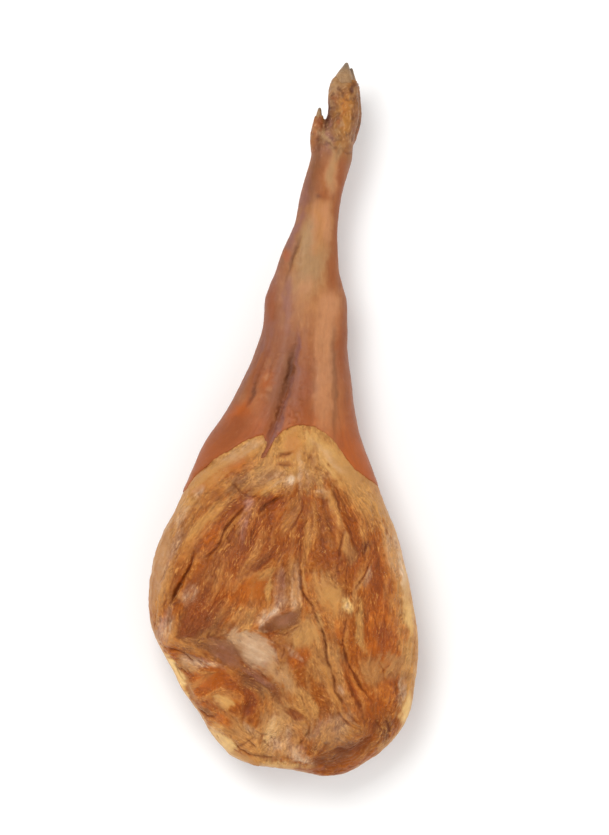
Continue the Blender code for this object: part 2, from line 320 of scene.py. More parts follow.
# Where the face is not just grainy, in the same form.
FACE_TEXTURES = (
    Patch("fibrous", -45, -132, 38, 32, 10, 0.9),
    Patch("fibrous", -66, -186, 34, 30, 20, 0.7),
    Patch("fibrous", 85, -116, 46, 26, -17, 0.9),
    Patch("fibrous", 98, -200, 46, 24, 0, 0.6),
    Patch("fibrous", 10, -125, 40, 24, 15, 0.6),
    Patch("fibrous", 112, -345, 16, 10, 8, 0.9),
    Patch("fibrous", 104, -238, 28, 14, 0, 0.8),
    Patch("fibrous", 76, -350, 16, 9, -60, 0.6),
    Patch("ridged", -86, -114, 42, 15, 42, 0.8),
    Patch("ridged", -112, -166, 40, 11, 26, 0.8),
    Patch("ridged", 62, -112, 34, 12, -12, 0.7),
    Patch("ridged", 46, -268, 62, 10, -14, 0.7),
    Patch("ridged", 82, -292, 38, 14, -32, 0.7),
    Patch("ridged", -104, -268, 26, 9, -60, 0.6),
    Patch("ridged", 66, -366, 22, 8, 72, 0.6),
    Patch("ridged", -40, -360, 26, 10, -62, 0.7),
    Patch("crumbly", 2, -66, 46, 13, 90, 0.9),
    Patch("crumbly", 0, -242, 42, 22, 70, 0.8),
    Patch("crumbly", 18, -268, 30, 18, -10, 0.7),
    Patch("crumbly", -10, -346, 26, 18, 20, 0.9),
    Patch("crumbly", -120, -266, 28, 10, -55, 0.8),
    Patch("crumbly", 24, -376, 14, 9, -60, 0.9),
    Patch("crumbly", -60, -300, 26, 18, 30, 0.6),
    Patch("crumbly", 44, -330, 26, 16, 40, 0.7),
    Patch("smooth", -68, -55, 54, 10, 60, 0.95),
    Patch("smooth", 62, -46, 46, 15, -46, 0.95),
    Patch("smooth", 12, -28, 22, 16, 5, 0.95),
    Patch("smooth", 24, -236, 18, 14, 60, 0.6),
    Patch("smooth", -138, -150, 60, 9, 8, 0.9),
    Patch("smooth", -27, -184, 19, 13, 20, 0.8),
    Patch("smooth", 50, -191, 20, 13, -22, 0.85),
    Patch("smooth", -64, -262, 20, 12, -62, 0.8),
    Patch("smooth", -28, -258, 32, 16, -56, 0.8),
    Patch("smooth", 4, -292, 26, 12, -40, 0.6),
    Patch("smooth", -66, -311, 14, 8, -68, 0.8),
    Patch("smooth", -84, -290, 17, 12, 60, 0.7),
    Patch("smooth", 108, -240, 22, 14, 0, 0.45),
    Patch("smooth", 2, -222, 17, 11, 65, 0.9),
    Patch("smooth", 60, -292, 40, 5, -24, 0.5),
    Patch("smooth", 100, -282, 18, 12, -20, 0.5),
    Patch("smooth", -68, -361, 24, 9, -50, 0.95),
    Patch("smooth", -108, -296, 34, 5, -34, 0.9),
    Patch("smooth", 139, -190, 70, 7, -4, 0.9),
    Patch("smooth", 139, -322, 24, 8, 15, 0.9),
    Patch("smooth", -46, -378, 18, 6, -70, 0.8),
    Patch("smooth", 6, -389, 34, 4, -88, 0.8),
    Patch("smooth", 118, -268, 14, 8, 60, 0.7),
)

SKIN_PATCHES = (
    # broad washes
    Patch("tan", 36, 210, 120, 34, 8, 0.35),
    Patch("beige", 26, 190, 70, 26, 10, 0.35),
    Patch("violet", 6, 214, 90, 12, 20, 0.6),
    Patch("umber", 34, 220, 50, 26, 6, 0.25),
    Patch("gold", 38, 210, 110, 34, 6, 0.35),
    Patch("gold", 50, 60, 90, 16, 0, 0.2),
    Patch("red", 58, 190, 90, 7, 4, 0.55),
    Patch("amber", 0, -30, 130, 44, 90, 0.45),
    Patch("red", -70, -24, 60, 26, 45, 0.4),
    Patch("umber", -36, 62, 80, 12, 28, 0.45),
    Patch("violet", -6, 92, 44, 24, 12, 0.35),
    Patch("ochre", 62, 350, 62, 26, 4, 0.9),
    # shin and calf
    Patch("tan", 50, 60, 90, 17, 0, 0.35),
    Patch("tan", 44, 46, 66, 11, 0, 0.55),
    Patch("tan", 50, 106, 34, 9, -2, 0.7),
    Patch("umber", 57, 40, 70, 3.0, 0, 0.55),
    Patch("red", 66, 84, 40, 7, 0, 0.75),
    Patch("red", 72, 10, 50, 8, -10, 0.35),
    Patch("amber", 84, -46, 30, 12, -26, 0.6),
    Patch("red", 23, 30, 56, 9, 3, 0.55),
    Patch("umber", -4, 34, 56, 10, 14, 0.45),
    Patch("umber", 8, 62, 34, 5, 12, 0.5),
    Patch("dark", 7, 57, 16, 2.8, 12, 0.55),
    Patch("red", 0, 24, 16, 3, 18, 0.4),
    Patch("violet", 16, 74, 30, 2.6, 4, 0.95),
    Patch("violet", 11, 46, 20, 2.6, 20, 0.9),
    Patch("violet", 2, 16, 26, 3.0, 14, 0.9),
    Patch("violet", -11, -16, 24, 5, 22, 0.95),
    Patch("umber", -22, -36, 12, 4, 30, 0.6),
    Patch("violet", 4, 88, 18, 9, 12, 0.4),
    Patch("red", -28, 54, 32, 5, 22, 0.65),
    Patch("dark", -36, 26, 16, 2.6, 20, 0.6),
    Patch("amber", -18, 44, 14, 8, 20, 0.5),
    Patch("tan", -19, 48, 5, 3, 20, 0.5),
    Patch("tan", -16, 34, 4, 3, 20, 0.45),
    Patch("amber", -50, 7, 17, 10, 40, 1.0),
    Patch("red", -50, -6, 14, 8, 40, 0.6),
    Patch("red", -60, -10, 24, 12, 45, 0.65),
    Patch("violet", -46, 46, 46, 6, 27, 0.6),
    Patch("violet", -12, 108, 24, 14, 10, 0.45),
    # hock
    Patch("violet", 5, 140, 28, 6, 3, 0.7),
    Patch("red", -14, 128, 24, 6, 4, 0.55),
    Patch("tan", 54, 130, 14, 8, 0, 0.8),
    Patch("beige", 30, 176, 34, 18, 8, 0.85),
    Patch("beige", 27, 208, 18, 9, 6, 0.7),
    Patch("tan", 26, 150, 12, 7, 30, 0.5),
    Patch("red", 54, 168, 22, 6, 0, 0.5),
    Patch("umber", 11, 182, 26, 3, 20, 0.8),
    Patch("umber", 0, 192, 22, 6, 24, 0.5),
    Patch("amber", 3, 184, 6, 5, 0, 0.7),
    # cannon
    Patch("violet", 16, 226, 44, 9, 18, 0.85),
    Patch("beige", 26, 200, 16, 6, 6, 0.8),
    Patch("tan", 38, 220, 30, 7, 4, 0.7),
    Patch("gold", 41, 218, 30, 7, 4, 0.4),
    Patch("tan", 48, 222, 28, 6, 2, 0.75),
    Patch("red", 60, 212, 40, 4, -2, 0.45),
    Patch("red", 46, 252, 7, 14, 5, 0.6),
    Patch("dark", 38, 250, 4, 5, 0, 0.6),
    Patch("umber", 34, 276, 36, 9, 10, 0.75),
    Patch("red", 46, 270, 26, 10, 8, 0.5),
    Patch("violet", 27, 262, 20, 4, 14, 0.5),
    Patch("tan", 55, 276, 22, 7, 4, 1.0),
    Patch("gold", 56, 276, 18, 5, 4, 0.3),
    Patch("beige", 54, 276, 18, 5, 4, 0.8),
    Patch("red", 66, 266, 34, 5, 5, 0.75),
    # foot
    Patch("gold", 69, 350, 36, 11, 2, 0.85),
    Patch("amber", 68, 352, 12, 4, 10, 0.5),
    Patch("beige", 64, 300, 14, 4, 30, 0.7),
    Patch("violet", 46, 312, 22, 11, 10, 0.85),
    Patch("beige", 42, 318, 10, 5, 0, 0.7),
    Patch("umber", 37, 304, 26, 4, 4, 0.6),
    Patch("umber", 72, 312, 18, 10, 0, 0.3),
    Patch("gold", 70, 308, 16, 7, 0, 0.4),
    Patch("umber", 54, 352, 28, 5, 2, 0.9),
    Patch("dark", 53, 356, 22, 3, 2, 0.45),
    Patch("dark", 78, 352, 26, 2.5, 2, 0.5),
    Patch("gold", 71, 354, 13, 6, 0, 0.7),
    Patch("gold", 68, 330, 10, 5, 0, 0.5),
    Patch("beige", 47, 317, 26, 3, -24, 0.9),
    Patch("beige", 55, 376, 14, 4, 8, 0.7),
    # The dark strip at (50, 337) is painted shade in the gap between the dewclaw and the foot.
    Patch("dark", 50, 337, 11, 3, 8, 1.0),
    Patch("red", 62, 334, 8, 4, 0, 0.7),
    Patch("red", 57, 361, 7, 4, 0, 0.75),
    Patch("umber", 67, 366, 9, 6, 60, 0.6),
    Patch("beige", 57, 372, 14, 7, 20, 0.8),
    Patch("beige", 68, 376, 9, 6, 0, 0.6),
    Patch("dark", 76, 367, 4.5, 3, 30, 0.85),
    Patch("umber", 80, 350, 36, 3, 0, 0.6),
    Patch("red", 40, 332, 9, 5, 0, 0.85),
    # This dark strip is painted shade in the same gap beside the dewclaw.
    Patch("dark", 49, 336, 10, 3.5, 8, 0.98),
    Patch("violet", 51, 326, 8, 3, 20, 0.6),
)

# A crease: half-width, depth, darkness of the shade painted into it, and the points along its bottom.
Crease = namedtuple("Crease", "half_wide depth dark points")
FACE_CREASES = (
    Crease(1.5, 3.4, 1.0, ((-42, -94), (-54, -109), (-65, -122), (-69, -134), (-76, -144), (-86, -151))),
    Crease(1.7, 4.4, 1.0, ((-99, -146), (-102, -160), (-106, -168), (-112, -179), (-119, -190), (-126, -205))),
    Crease(2.2, 3.0, 0.9, ((-110, -176), (-117, -188), (-124, -201))),
    Crease(1.2, 1.8, 0.6, ((-127, -156), (-131, -169), (-136, -180))),
    Crease(1.2, 1.6, 0.5, ((-129, -200), (-136, -211))),
    Crease(4.5, 3.2, 0.45, ((-10, -149), (-24, -160), (-42, -172))),
    Crease(1.0, 1.0, 0.4, ((-52, -112), (-56, -126), (-62, -138))),
    Crease(1.0, 1.0, 0.4, ((-46, -114), (-49, -128), (-54, -142))),
    Crease(0.9, 0.9, 0.4, ((-40, -120), (-42, -133), (-46, -146))),
    Crease(0.9, 0.9, 0.35, ((-34, -118), (-35, -130), (-38, -140))),
    Crease(0.9, 0.9, 0.35, ((-60, -124), (-67, -138), (-76, -150))),
    Crease(1.0, 1.2, 0.5, ((-52, -84), (-62, -96), (-72, -106), (-82, -114))),
    Crease(1.0, 1.0, 0.4, ((-74, -94), (-86, -106), (-94, -118))),
    Crease(0.9, 0.9, 0.3, ((-86, -92), (-98, -104), (-104, -116))),
    Crease(1.6, 2.6, 0.9, ((2, -84), (-10, -88), (-22, -95), (-26, -102))),
    Crease(1.1, 2.0, 0.9, ((23, -89), (19, -104), (11, -117), (8, -123))),
    Crease(0.9, 1.3, 0.7, ((28, -109), (20, -121))),
    Crease(1.2, 2.0, 0.8, ((55, -74), (60, -89), (63, -103))),
    Crease(1.2, 2.2, 0.8, ((67, -108), (75, -124), (80, -137), (84, -148), (81, -156))),
    Crease(1.3, 2.2, 0.8, ((67, -124), (65, -137), (62, -147), (61, -155))),
    Crease(1.3, 2.0, 0.7, ((95, -134), (91, -142), (87, -151))),
    Crease(1.1, 1.8, 0.6, ((98, -153), (93, -164), (87, -177), (79, -189))),
    Crease(0.9, 1.2, 0.6, ((71, -166), (70, -178), (70, -191))),
    Crease(0.9, 1.2, 0.5, ((45, -176), (53, -181), (60, -187))),
    Crease(1.4, 2.6, 0.9, ((16, -154), (20, -167), (20, -186), (24, -195), (33, -205), (39, -214))),
    Crease(1.3, 2.6, 0.9, ((32, -204), (38, -222), (45, -235), (48, -252), (48, -267), (53, -279), (57, -287), (57, -300), (63, -310), (70, -318))),
    Crease(1.3, 2.6, 0.9, ((70, -222), (66, -240), (67, -257), (72, -270), (79, -282), (85, -295), (91, -305), (99, -311))),
    Crease(2.4, 2.4, 0.5, ((69, -276), (72, -289), (77, -304), (83, -316), (90, -328))),
    Crease(1.6, 3.0, 1.0, ((-139, -247), (-131, -253), (-119, -255), (-110, -258), (-106, -262), (-100, -268))),
    Crease(1.0, 1.6, 0.7, ((-118, -276), (-112, -279), (-106, -283), (-100, -279))),
    Crease(1.0, 1.4, 0.6, ((-121, -272), (-116, -284), (-110, -292))),
    Crease(1.5, 2.2, 0.9, ((-95, -323), (-85, -330), (-74, -331))),
    Crease(1.3, 2.2, 0.9, ((-56, -358), (-47, -368), (-36, -373), (-24, -375), (-10, -376))),
    Crease(1.0, 1.6, 0.7, ((-45, -350), (-38, -358), (-30, -364))),
    Crease(1.0, 1.6, 0.7, ((-23, -356), (-15, -365))),
    Crease(1.0, 1.5, 0.7, ((-15, -351), (-8, -363))),
    Crease(1.1, 1.8, 0.8, ((62, -326), (67, -333), (75, -340), (86, -345))),
    Crease(1.0, 1.4, 0.7, ((74, -328), (82, -337))),
    Crease(1.3, 2.0, 0.6, ((14, -366), (20, -358), (27, -349), (32, -336))),
    Crease(1.2, 1.6, 0.6, ((112, -331), (117, -342), (118, -352))),
    Crease(1.2, 1.6, 0.6, ((104, -333), (108, -344))),
    Crease(1.0, 1.6, 0.7, ((-5, -36), (4, -38), (12, -36))),
    Crease(1.0, 1.4, 0.6, ((-6, -50), (2, -51), (9, -50))),
    Crease(1.4, 1.8, 0.6, ((-58, -70), (-46, -80), (-38, -86), (-28, -84))),
    Crease(1.2, 1.2, 0.25, ((-24, -232), (-16, -240), (-7, -249), (2, -258))),
    Crease(1.6, 1.2, 0.15, ((-57, -246), (-52, -258), (-44, -270), (-34, -278), (-16, -286), (-2, -294))),
    Crease(1.2, 1.4, 0.35, ((-62, -238), (-74, -242), (-84, -240))),
    Crease(1.1, 1.4, 0.4, ((-24, -226), (-14, -235), (2, -238), (20, -228))),
    Crease(0.9, 1.0, 0.5, ((100, -214), (104, -228), (108, -243))),
    Crease(1.0, 1.4, 0.6, ((-34, -344), (-24, -350), (-16, -350))),
    Crease(0.9, 1.2, 0.6, ((-52, -366), (-42, -360), (-32, -352))),
    Crease(0.9, 1.2, 0.55, ((-126, -262), (-119, -272), (-114, -284))),
    Crease(0.9, 1.2, 0.5, ((-88, -262), (-80, -268), (-68, -270))),
    Crease(0.9, 1.2, 0.5, ((12, -300), (20, -308), (24, -320))),
    Crease(0.9, 1.2, 0.5, ((30, -92), (34, -104), (33, -118))),
    Crease(0.9, 1.2, 0.5, ((-8, -112), (-14, -124), (-16, -138))),
    Crease(0.9, 1.2, 0.5, ((104, -262), (110, -276), (112, -292))),
    Crease(0.9, 1.0, 0.5, ((112, -218), (114, -232), (119, -247))),
    Crease(1.0, 1.2, 0.5, ((96, -180), (100, -196), (99, -210))),
    Crease(1.0, 1.2, 0.5, ((106, -160), (109, -176), (112, -190))),
)

SKIN_CREASES = (
    Crease(5.0, 2.6, 0.1, ((15, 92), (13, 76), (8, 54), (3, 34), (-4, 8), (-11, -12))),
    Crease(4.0, 2.4, 0.1, ((-2, 14), (-11, -9), (-16, -24), (-26, -46))),
    Crease(2.2, 1.0, 0.3, ((9, 70), (7, 55), (5, 42), (0, 26))),
    Crease(1.6, 1.2, 0.9, ((52, 349), (50, 340), (49, 329))),
    Crease(3.4, 1.6, 0.15, ((-13, 86), (-27, 54), (-36, 24), (-41, 16))),
    Crease(2.2, 1.0, 0.15, ((-20, 94), (-25, 78), (-32, 60))),
    Crease(2.0, 0.9, 0.15, ((-8, 76), (-14, 60), (-20, 40))),
    Crease(3.2, 1.0, 0.05, ((58, 118), (59, 60), (61, 10), (68, -30))),
    Crease(3.2, 0.8, 0.0, ((35, 100), (35, 50), (34, 0))),
    Crease(2.6, 1.6, 0.3, ((21, 206), (13, 186), (7, 168))),
    Crease(1.2, 1.2, 0.5, ((48, 324), (54, 327), (57, 333))),
    Crease(1.6, 0.8, 0.2, ((42, 316), (50, 309), (58, 302))),
    Crease(1.4, 1.0, 0.3, ((66, 301), (72, 297), (78, 300))),
    Crease(1.4, 1.2, 0.5, ((73, 371), (76, 366), (75, 360))),
)

# Rounded rises and hollows of the face, under its creases.
Rise = namedtuple("Rise", "x y long wide lean height")
FACE_RISES = (
    Rise(14, -26, 18, 16, 5, 2.2),
    Rise(60, -56, 34, 16, -40, 1.6),
    Rise(-62, -50, 36, 9, 60, 1.6),
    Rise(-24, -76, 24, 5, 62, 2.0),
    Rise(-10, -93, 14, 7, 62, -2.2),
    Rise(-88, -112, 30, 8, 45, 2.0),
    Rise(-55, -112, 26, 7, 40, 1.2),
    Rise(-112, -160, 26, 7, 28, 1.6),
    Rise(-102, -192, 16, 7, 32, 1.4),
    Rise(-30, -180, 20, 14, 20, 1.6),
    Rise(50, -190, 20, 13, -22, 1.6),
    Rise(73, -140, 18, 6, -8, 1.6),
    Rise(58, -98, 22, 3.5, -18, 1.4),
    Rise(4, -188, 30, 9, 2, -1.6),
    Rise(0, -225, 19, 11, 75, 1.8),
    Rise(-30, -254, 34, 13, -62, 1.6),
    Rise(-62, -262, 22, 11, -62, -2.0),
    Rise(-36, -290, 22, 7, -58, -1.8),
    Rise(-126, -238, 15, 9, 20, 1.5),
    Rise(-84, -287, 13, 12, 60, 1.4),
    Rise(-64, -312, 12, 8, -65, 1.6),
    Rise(-38, -318, 12, 7, 15, -1.8),
    Rise(-12, -342, 16, 12, 30, 1.2),
    Rise(11, -327, 12, 6, -60, -1.6),
    Rise(55, -300, 40, 5, -22, 1.5),
    Rise(70, -246, 18, 4, 4, 1.4),
    Rise(104, -234, 24, 10, 0, 1.2),
    Rise(84, -300, 26, 4, -30, 1.2),
    Rise(50, -344, 15, 12, 20, 2.0),
    Rise(72, -350, 18, 10, 70, 1.8),
    Rise(92, -364, 16, 8, 50, -1.6),
    Rise(116, -304, 14, 10, -10, 1.4),
    Rise(22, -374, 12, 6, -62, 1.0),
    Rise(-28, -382, 14, 7, -80, 1.8),
)

# Which way the fibres run: a place and their lean.
FIBRE_LEANS = (
    (-110, -95, 38), (-80, -75, 58), (-50, -50, 62), (-25, -72, 60), (-60, -100, 42),
    (-100, -130, 36), (-75, -130, 34), (-45, -130, 12), (-30, -110, 20), (-15, -130, 18),
    (-115, -170, 30), (-85, -175, 24), (-55, -165, 14), (-25, -165, 48), (-140, -190, 6),
    (0, -105, 24), (15, -130, 12), (0, -30, 8), (30, -30, -8), (60, -55, -45),
    (90, -80, -42), (45, -90, -14), (65, -115, -18), (80, -130, -14), (100, -120, -16),
    (125, -160, -10), (95, -170, 14), (110, -200, 2), (45, -190, -24), (75, -190, 4),
    (20, -175, 0), (-5, -190, 4), (-35, -200, 10), (-60, -215, 40), (-95, -215, 30),
    (-135, -235, 10), (-120, -258, -78), (-95, -270, -60), (-60, -260, -60),
    (-30, -255, -66), (-35, -290, -58), (0, -225, 75), (15, -250, 20), (40, -235, -24),
    (45, -265, -8), (60, -300, -26), (70, -255, 4), (80, -290, -32), (105, -235, 0),
    (140, -240, 4), (115, -275, 40), (115, -305, -12), (-85, -295, 50), (-60, -315, -60),
    (-35, -320, 12), (-80, -335, -58), (-50, -370, -62), (-15, -345, 25), (0, -370, 4),
    (15, -300, -10), (10, -330, -55), (50, -345, 20), (75, -350, -58), (95, -365, 48),
    (115, -345, 10), (60, -388, 80), (135, -320, 14),
    (-40, 20, 26), (0, 40, 14), (45, 40, 0), (10, 120, 8), (50, 140, 0), (25, 190, 12),
    (40, 240, 8), (50, 280, 8), (60, 330, 6), (-90, -45, 45), (90, -40, -24),
)

# The skin's cut edge over the top of the leg, from the heel's side to the flank's. It
# is carried on outwards at both ends, where it runs down the sides.
SKIN_EDGE = (
    (-180, -118), (-128, -92), (-110, -79), (-100, -64), (-90, -55), (-78, -44), (-60, -34),
    (-50, -28), (-40, -22), (-30, -18), (-22, -17), (-19, -24), (-24, -38), (-27, -46),
    (-20, -40), (-13, -28), (-9, -20), (0, -12), (10, -7), (22, -5), (35, -7), (45, -13), (55, -22),
    (62, -32), (70, -43), (80, -55), (90, -62), (100, -69), (118, -84), (180, -110),
)
SKIN_EDGE_HEIGHT = 44.0  # of the cut edge along the sides, over the ground

# The horn claws: places along each with its two edges and its thickness, the height of
# its flat inner side, which way it bulges from there, and its shift from the first.
Horn = namedtuple("Horn", "along left right thick")
CLAW_ROWS = (
    Horn(372.5, 55.0, 77.0, 21.0),
    Horn(375.5, 53.2, 78.8, 23.4),
    Horn(380.0, 55.4, 78.2, 23.4),
    Horn(386.0, 59.0, 76.8, 21.0),
    Horn(391.5, 62.8, 75.0, 17.0),
    Horn(396.0, 66.4, 73.6, 12.6),
    Horn(399.6, 68.8, 72.6, 7.6),
    Horn(400.6, 69.8, 71.8, 4.0),
)
CLEFT_HEIGHT = 71.0
CLAW_PLACES = ((1, 0.0, 0.0), (-1, 5.4, -5.8))
DEWCLAW_ROWS = (
    (336.5, 39.4, 7.6), (338.5, 39.6, 8.4), (341.5, 39.9, 6.4),
    (345.0, 40.2, 5.0), (348.0, 40.5, 3.6), (349.4, 40.6, 2.0),
)
DEWCLAW_PLACES = ((81.0, 0.0, 0.0), (60.0, 0.5, -3.0))

# ---------------------------------------------------------------- numbers and noise
PLAN_STEP = 0.8  # of the plan grid, in table millimetres
PLAN_X = np.arange(-168.0, 168.1, PLAN_STEP)
PLAN_Y = np.arange(-412.0, 412.1, PLAN_STEP)
GRID_X, GRID_Y = np.meshgrid(PLAN_X, PLAN_Y)
HASH_PRIMES = (73856093, 19349663, 83492791)


def smoothstep(low, high, value):
    """0 below low, 1 above high, and a smooth rise between."""
    t = np.clip((value - low) / (high - low), 0.0, 1.0)
    return t * t * (3 - 2 * t)


def hashed(key):
    """A repeatable random number from 0 to 1 for each whole number."""
    key = (key ^ (key >> 13)) * 1274126177 & 0xFFFFFFFF
    key = (key ^ (key >> 15)) * 668265263 & 0xFFFFFFFF
    return ((key ^ (key >> 16)) & 0xFFFFFF) / 0xFFFFFF


def noise(coords, seed):
    """Smooth random values from -1 to 1 that change over one unit of the coordinates."""
    cells = [np.floor(c).astype(np.int64) for c in coords]
    parts = [c - cell for c, cell in zip(coords, cells)]
    parts = [t * t * t * (t * (6 * t - 15) + 10) for t in parts]
    total = 0.0
    for corner in product((0, 1), repeat=len(coords)):
        weight, key = 1.0, seed * 2654435761
        for side, cell, part, prime in zip(corner, cells, parts, HASH_PRIMES):
            weight = weight * (part if side else 1 - part)
            key = key ^ ((cell + side) * prime)
        total = total + weight * hashed(key)
    return 2 * total - 1


def rough_noise(coords, size, seed, octaves=3):
    """Noise of several sizes, each half as large and half as strong as the last."""
    total = 0.0
    for k in range(octaves):
        total = total + noise([c * (2**k / size) + 31.7 * k for c in coords], seed + k) / 2**k
    return total / (2 - 2.0 ** (1 - octaves))


def cracked_noise(x, y, size, seed):
    """How deep a place lies inside its own grain, from 0 at the grain's edge."""
    cx, cy = np.floor(x / size).astype(np.int64), np.floor(y / size).astype(np.int64)
    nearest = np.full(x.shape, 9e9)
    second = np.full(x.shape, 9e9)
    for dx, dy in product((-1, 0, 1), repeat=2):
        key = ((cx + dx) * HASH_PRIMES[0]) ^ ((cy + dy) * HASH_PRIMES[1]) ^ (seed * 7919)
        px = (cx + dx + 0.1 + 0.8 * hashed(key)) * size
        py = (cy + dy + 0.1 + 0.8 * hashed(key + 101)) * size
        gap = np.hypot(x - px, y - py)
        second = np.minimum(second, np.maximum(nearest, gap))
        nearest = np.minimum(nearest, gap)
    return (second - nearest) / size


def blurred(field, radius):
    """A plan field after a Gaussian blur of this radius, in table millimetres."""
    fy = np.fft.fftfreq(field.shape[0])[:, None]
    fx = np.fft.rfftfreq(field.shape[1])[None, :]
    sigma = radius / PLAN_STEP
    kernel = np.exp(-2 * (math.pi * sigma) ** 2 * (fx * fx + fy * fy))
    return np.fft.irfft2(np.fft.rfft2(field) * kernel, s=field.shape)


def plan_value(field, x, y):
    """A plan field's value at places between its grid points."""
    u = np.clip((x - PLAN_X[0]) / PLAN_STEP, 0, field.shape[1] - 1.001)
    v = np.clip((y - PLAN_Y[0]) / PLAN_STEP, 0, field.shape[0] - 1.001)
    i, j = u.astype(int), v.astype(int)
    fu, fv = u - i, v - j
    low = field[j, i] * (1 - fu) + field[j, i + 1] * fu
    high = field[j + 1, i] * (1 - fu) + field[j + 1, i + 1] * fu
    return low * (1 - fv) + high * fv


def window(points, margin):
    """The part of the plan grid that lies around some points."""
    points = np.asarray(points, float)
    low, high = points.min(0) - margin, points.max(0) + margin
    columns = slice(*np.searchsorted(PLAN_X, (low[0], high[0])))
    rows = slice(*np.searchsorted(PLAN_Y, (low[1], high[1])))
    return rows, columns


def path_gap(points, x, y):
    """Distance to a line of points, the share of its length there, and the side of it."""
    points = np.asarray(points, float)
    lengths = np.hypot(*np.diff(points, axis=0).T)
    starts = np.concatenate([[0], np.cumsum(lengths)])
    gap = np.full(np.shape(x), 9e9)
    share = np.zeros(np.shape(x))
    side = np.zeros(np.shape(x))
    for (ax, ay), (bx, by), start, length in zip(points, points[1:], starts, lengths):
        t = ((x - ax) * (bx - ax) + (y - ay) * (by - ay)) / length**2
        t = np.clip(t, 0, 1)
        here = np.hypot(x - ax - t * (bx - ax), y - ay - t * (by - ay))
        closer = here < gap
        gap = np.where(closer, here, gap)
        share = np.where(closer, (start + t * length) / starts[-1], share)
        across = ((bx - ax) * (y - ay) - (by - ay) * (x - ax)) / length
        side = np.where(closer, across, side)
    return gap, share, side


def turned(x, y, lean):
    """Distances along and across an axis with this lean."""
    s, c = math.sin(math.radians(lean)), math.cos(math.radians(lean))
    return x * s + y * c, x * c - y * s


# ---------------------------------------------------------------- plan fields
def ragged_places():
    """The plan grid's places pushed about, so that what is drawn there has ragged edges."""
    coords = (GRID_X, GRID_Y)
    dx = 3.2 * rough_noise(coords, 17.0, 11) + 1.3 * rough_noise(coords, 4.5, 12, 2)
    dy = 3.2 * rough_noise(coords, 17.0, 21) + 1.3 * rough_noise(coords, 4.5, 22, 2)
    return GRID_X + dx, GRID_Y + dy


def fibre_directions():
    """Unit vectors along the fibres over the plan grid."""
    twice_x = np.zeros(GRID_X.shape)
    twice_y = np.zeros(GRID_X.shape)
    for x, y, lean in FIBRE_LEANS:
        weight = 1 / ((GRID_X - x) ** 2 + (GRID_Y - y) ** 2 + 60.0) ** 1.6
        twice_x += weight * math.cos(math.radians(2 * lean))
        twice_y += weight * math.sin(math.radians(2 * lean))
    lean = np.arctan2(twice_y, twice_x) / 2
    lean = lean + 0.22 * rough_noise((GRID_X, GRID_Y), 22.0, 31, 2)
    return np.sin(lean), np.cos(lean)


def combed(field, directions, reach):
    """A field smeared along the fibres, for this many grid steps each way."""
    total, count = field.copy(), 1
    rows, columns = np.indices(field.shape)
    for way in (1, -1):
        u, v = columns.astype(float), rows.astype(float)
        for _ in range(reach):
            i = np.clip(np.rint(u).astype(int), 0, field.shape[1] - 1)
            j = np.clip(np.rint(v).astype(int), 0, field.shape[0] - 1)
            u += way * directions[0][j, i]
            v += way * directions[1][j, i]
            i = np.clip(np.rint(u).astype(int), 0, field.shape[1] - 1)
            j = np.clip(np.rint(v).astype(int), 0, field.shape[0] - 1)
            total += field[j, i]
            count += 1
    return total / count


def fibre_grain(directions, thickness, reach, seed):
    """Fibres of a thickness in millimetres, with a spread of 1 about 0."""
    grains = rough_noise((GRID_X, GRID_Y), thickness, seed, 1)
    streaks = combed(grains, directions, reach)
    streaks -= blurred(streaks, thickness * 4)
    return streaks / streaks.std()


def folds(grain):
    """Broad ridges with narrow valleys between them, from a grain about 0."""
    valley = smoothstep(0.75, 0.0, np.abs(grain))
    return 0.9 - 2.2 * valley


def press_creases(height, shadow, creases, places):
    """Cuts creases into a height field and marks how dark the painted shade of each place in them is."""
    for crease in creases:
        rows, columns = window(crease.points, 8 * crease.half_wide + 6)
        x, y = places[0][rows, columns], places[1][rows, columns]
        x = 0.45 * x + 0.55 * GRID_X[rows, columns]
        y = 0.45 * y + 0.55 * GRID_Y[rows, columns]
        gap, share, side = path_gap(crease.points, x, y)
        taper = np.sin(math.pi * (0.06 + 0.88 * share)) ** 0.7
        uneven = 0.5 * noise((x / 9, y / 9), 301) + 0.4 * noise((x / 3.2, y / 3.2), 302)
        taper = np.clip(taper * (1.05 + 0.75 * uneven), 0, 1)
        wide = crease.half_wide * (0.4 + 0.42 * taper) * (1 + 0.5 * uneven)
        groove = np.exp(-((gap / wide) ** 2)) * taper
        lip = np.exp(-(((gap - 3.0 * wide) / (2.2 * wide)) ** 2)) * taper
        lip = lip * (0.15 + 0.4 * smoothstep(-1.5, 1.5, side))
        height[rows, columns] += 0.75 * crease.depth * (lip - groove)
        dark = 0.95 * crease.dark * groove
        shadow[rows, columns] = np.maximum(shadow[rows, columns], dark)


def stray_creases(directions, count, seed):
    """Fine creases strewn over the face along its fibres."""
    rng = np.random.default_rng(seed)
    creases = []
    while len(creases) < count:
        x, y = rng.uniform(-140, 140), rng.uniform(-380, -70)
        length, drift = rng.uniform(6, 22), rng.normal(0, 0.25)
        points = []
        for _ in range(int(length / 1.6)):
            points.append((x, y))
            sx = float(plan_value(directions[0], np.array([x]), np.array([y]))[0])
            sy = float(plan_value(directions[1], np.array([x]), np.array([y]))[0])
            turn = drift + rng.normal(0, 0.12)
            x -= 1.6 * (sx * math.cos(turn) - sy * math.sin(turn))
            y -= 1.6 * (sx * math.sin(turn) + sy * math.cos(turn))
        depth = rng.uniform(0.35, 1.1)
        creases.append(Crease(rng.uniform(0.6, 1.0), depth, 0.62 * depth, points))
    return creases


def covered(weights, pigment, amount):
    """Lays a pigment over the others."""
    for name in weights:
        weights[name] = weights[name] * (1 - amount)
    weights[pigment] = weights[pigment] + amount


VEILS = ("violet", "white", "pale")  # pigments that lie as broken strands


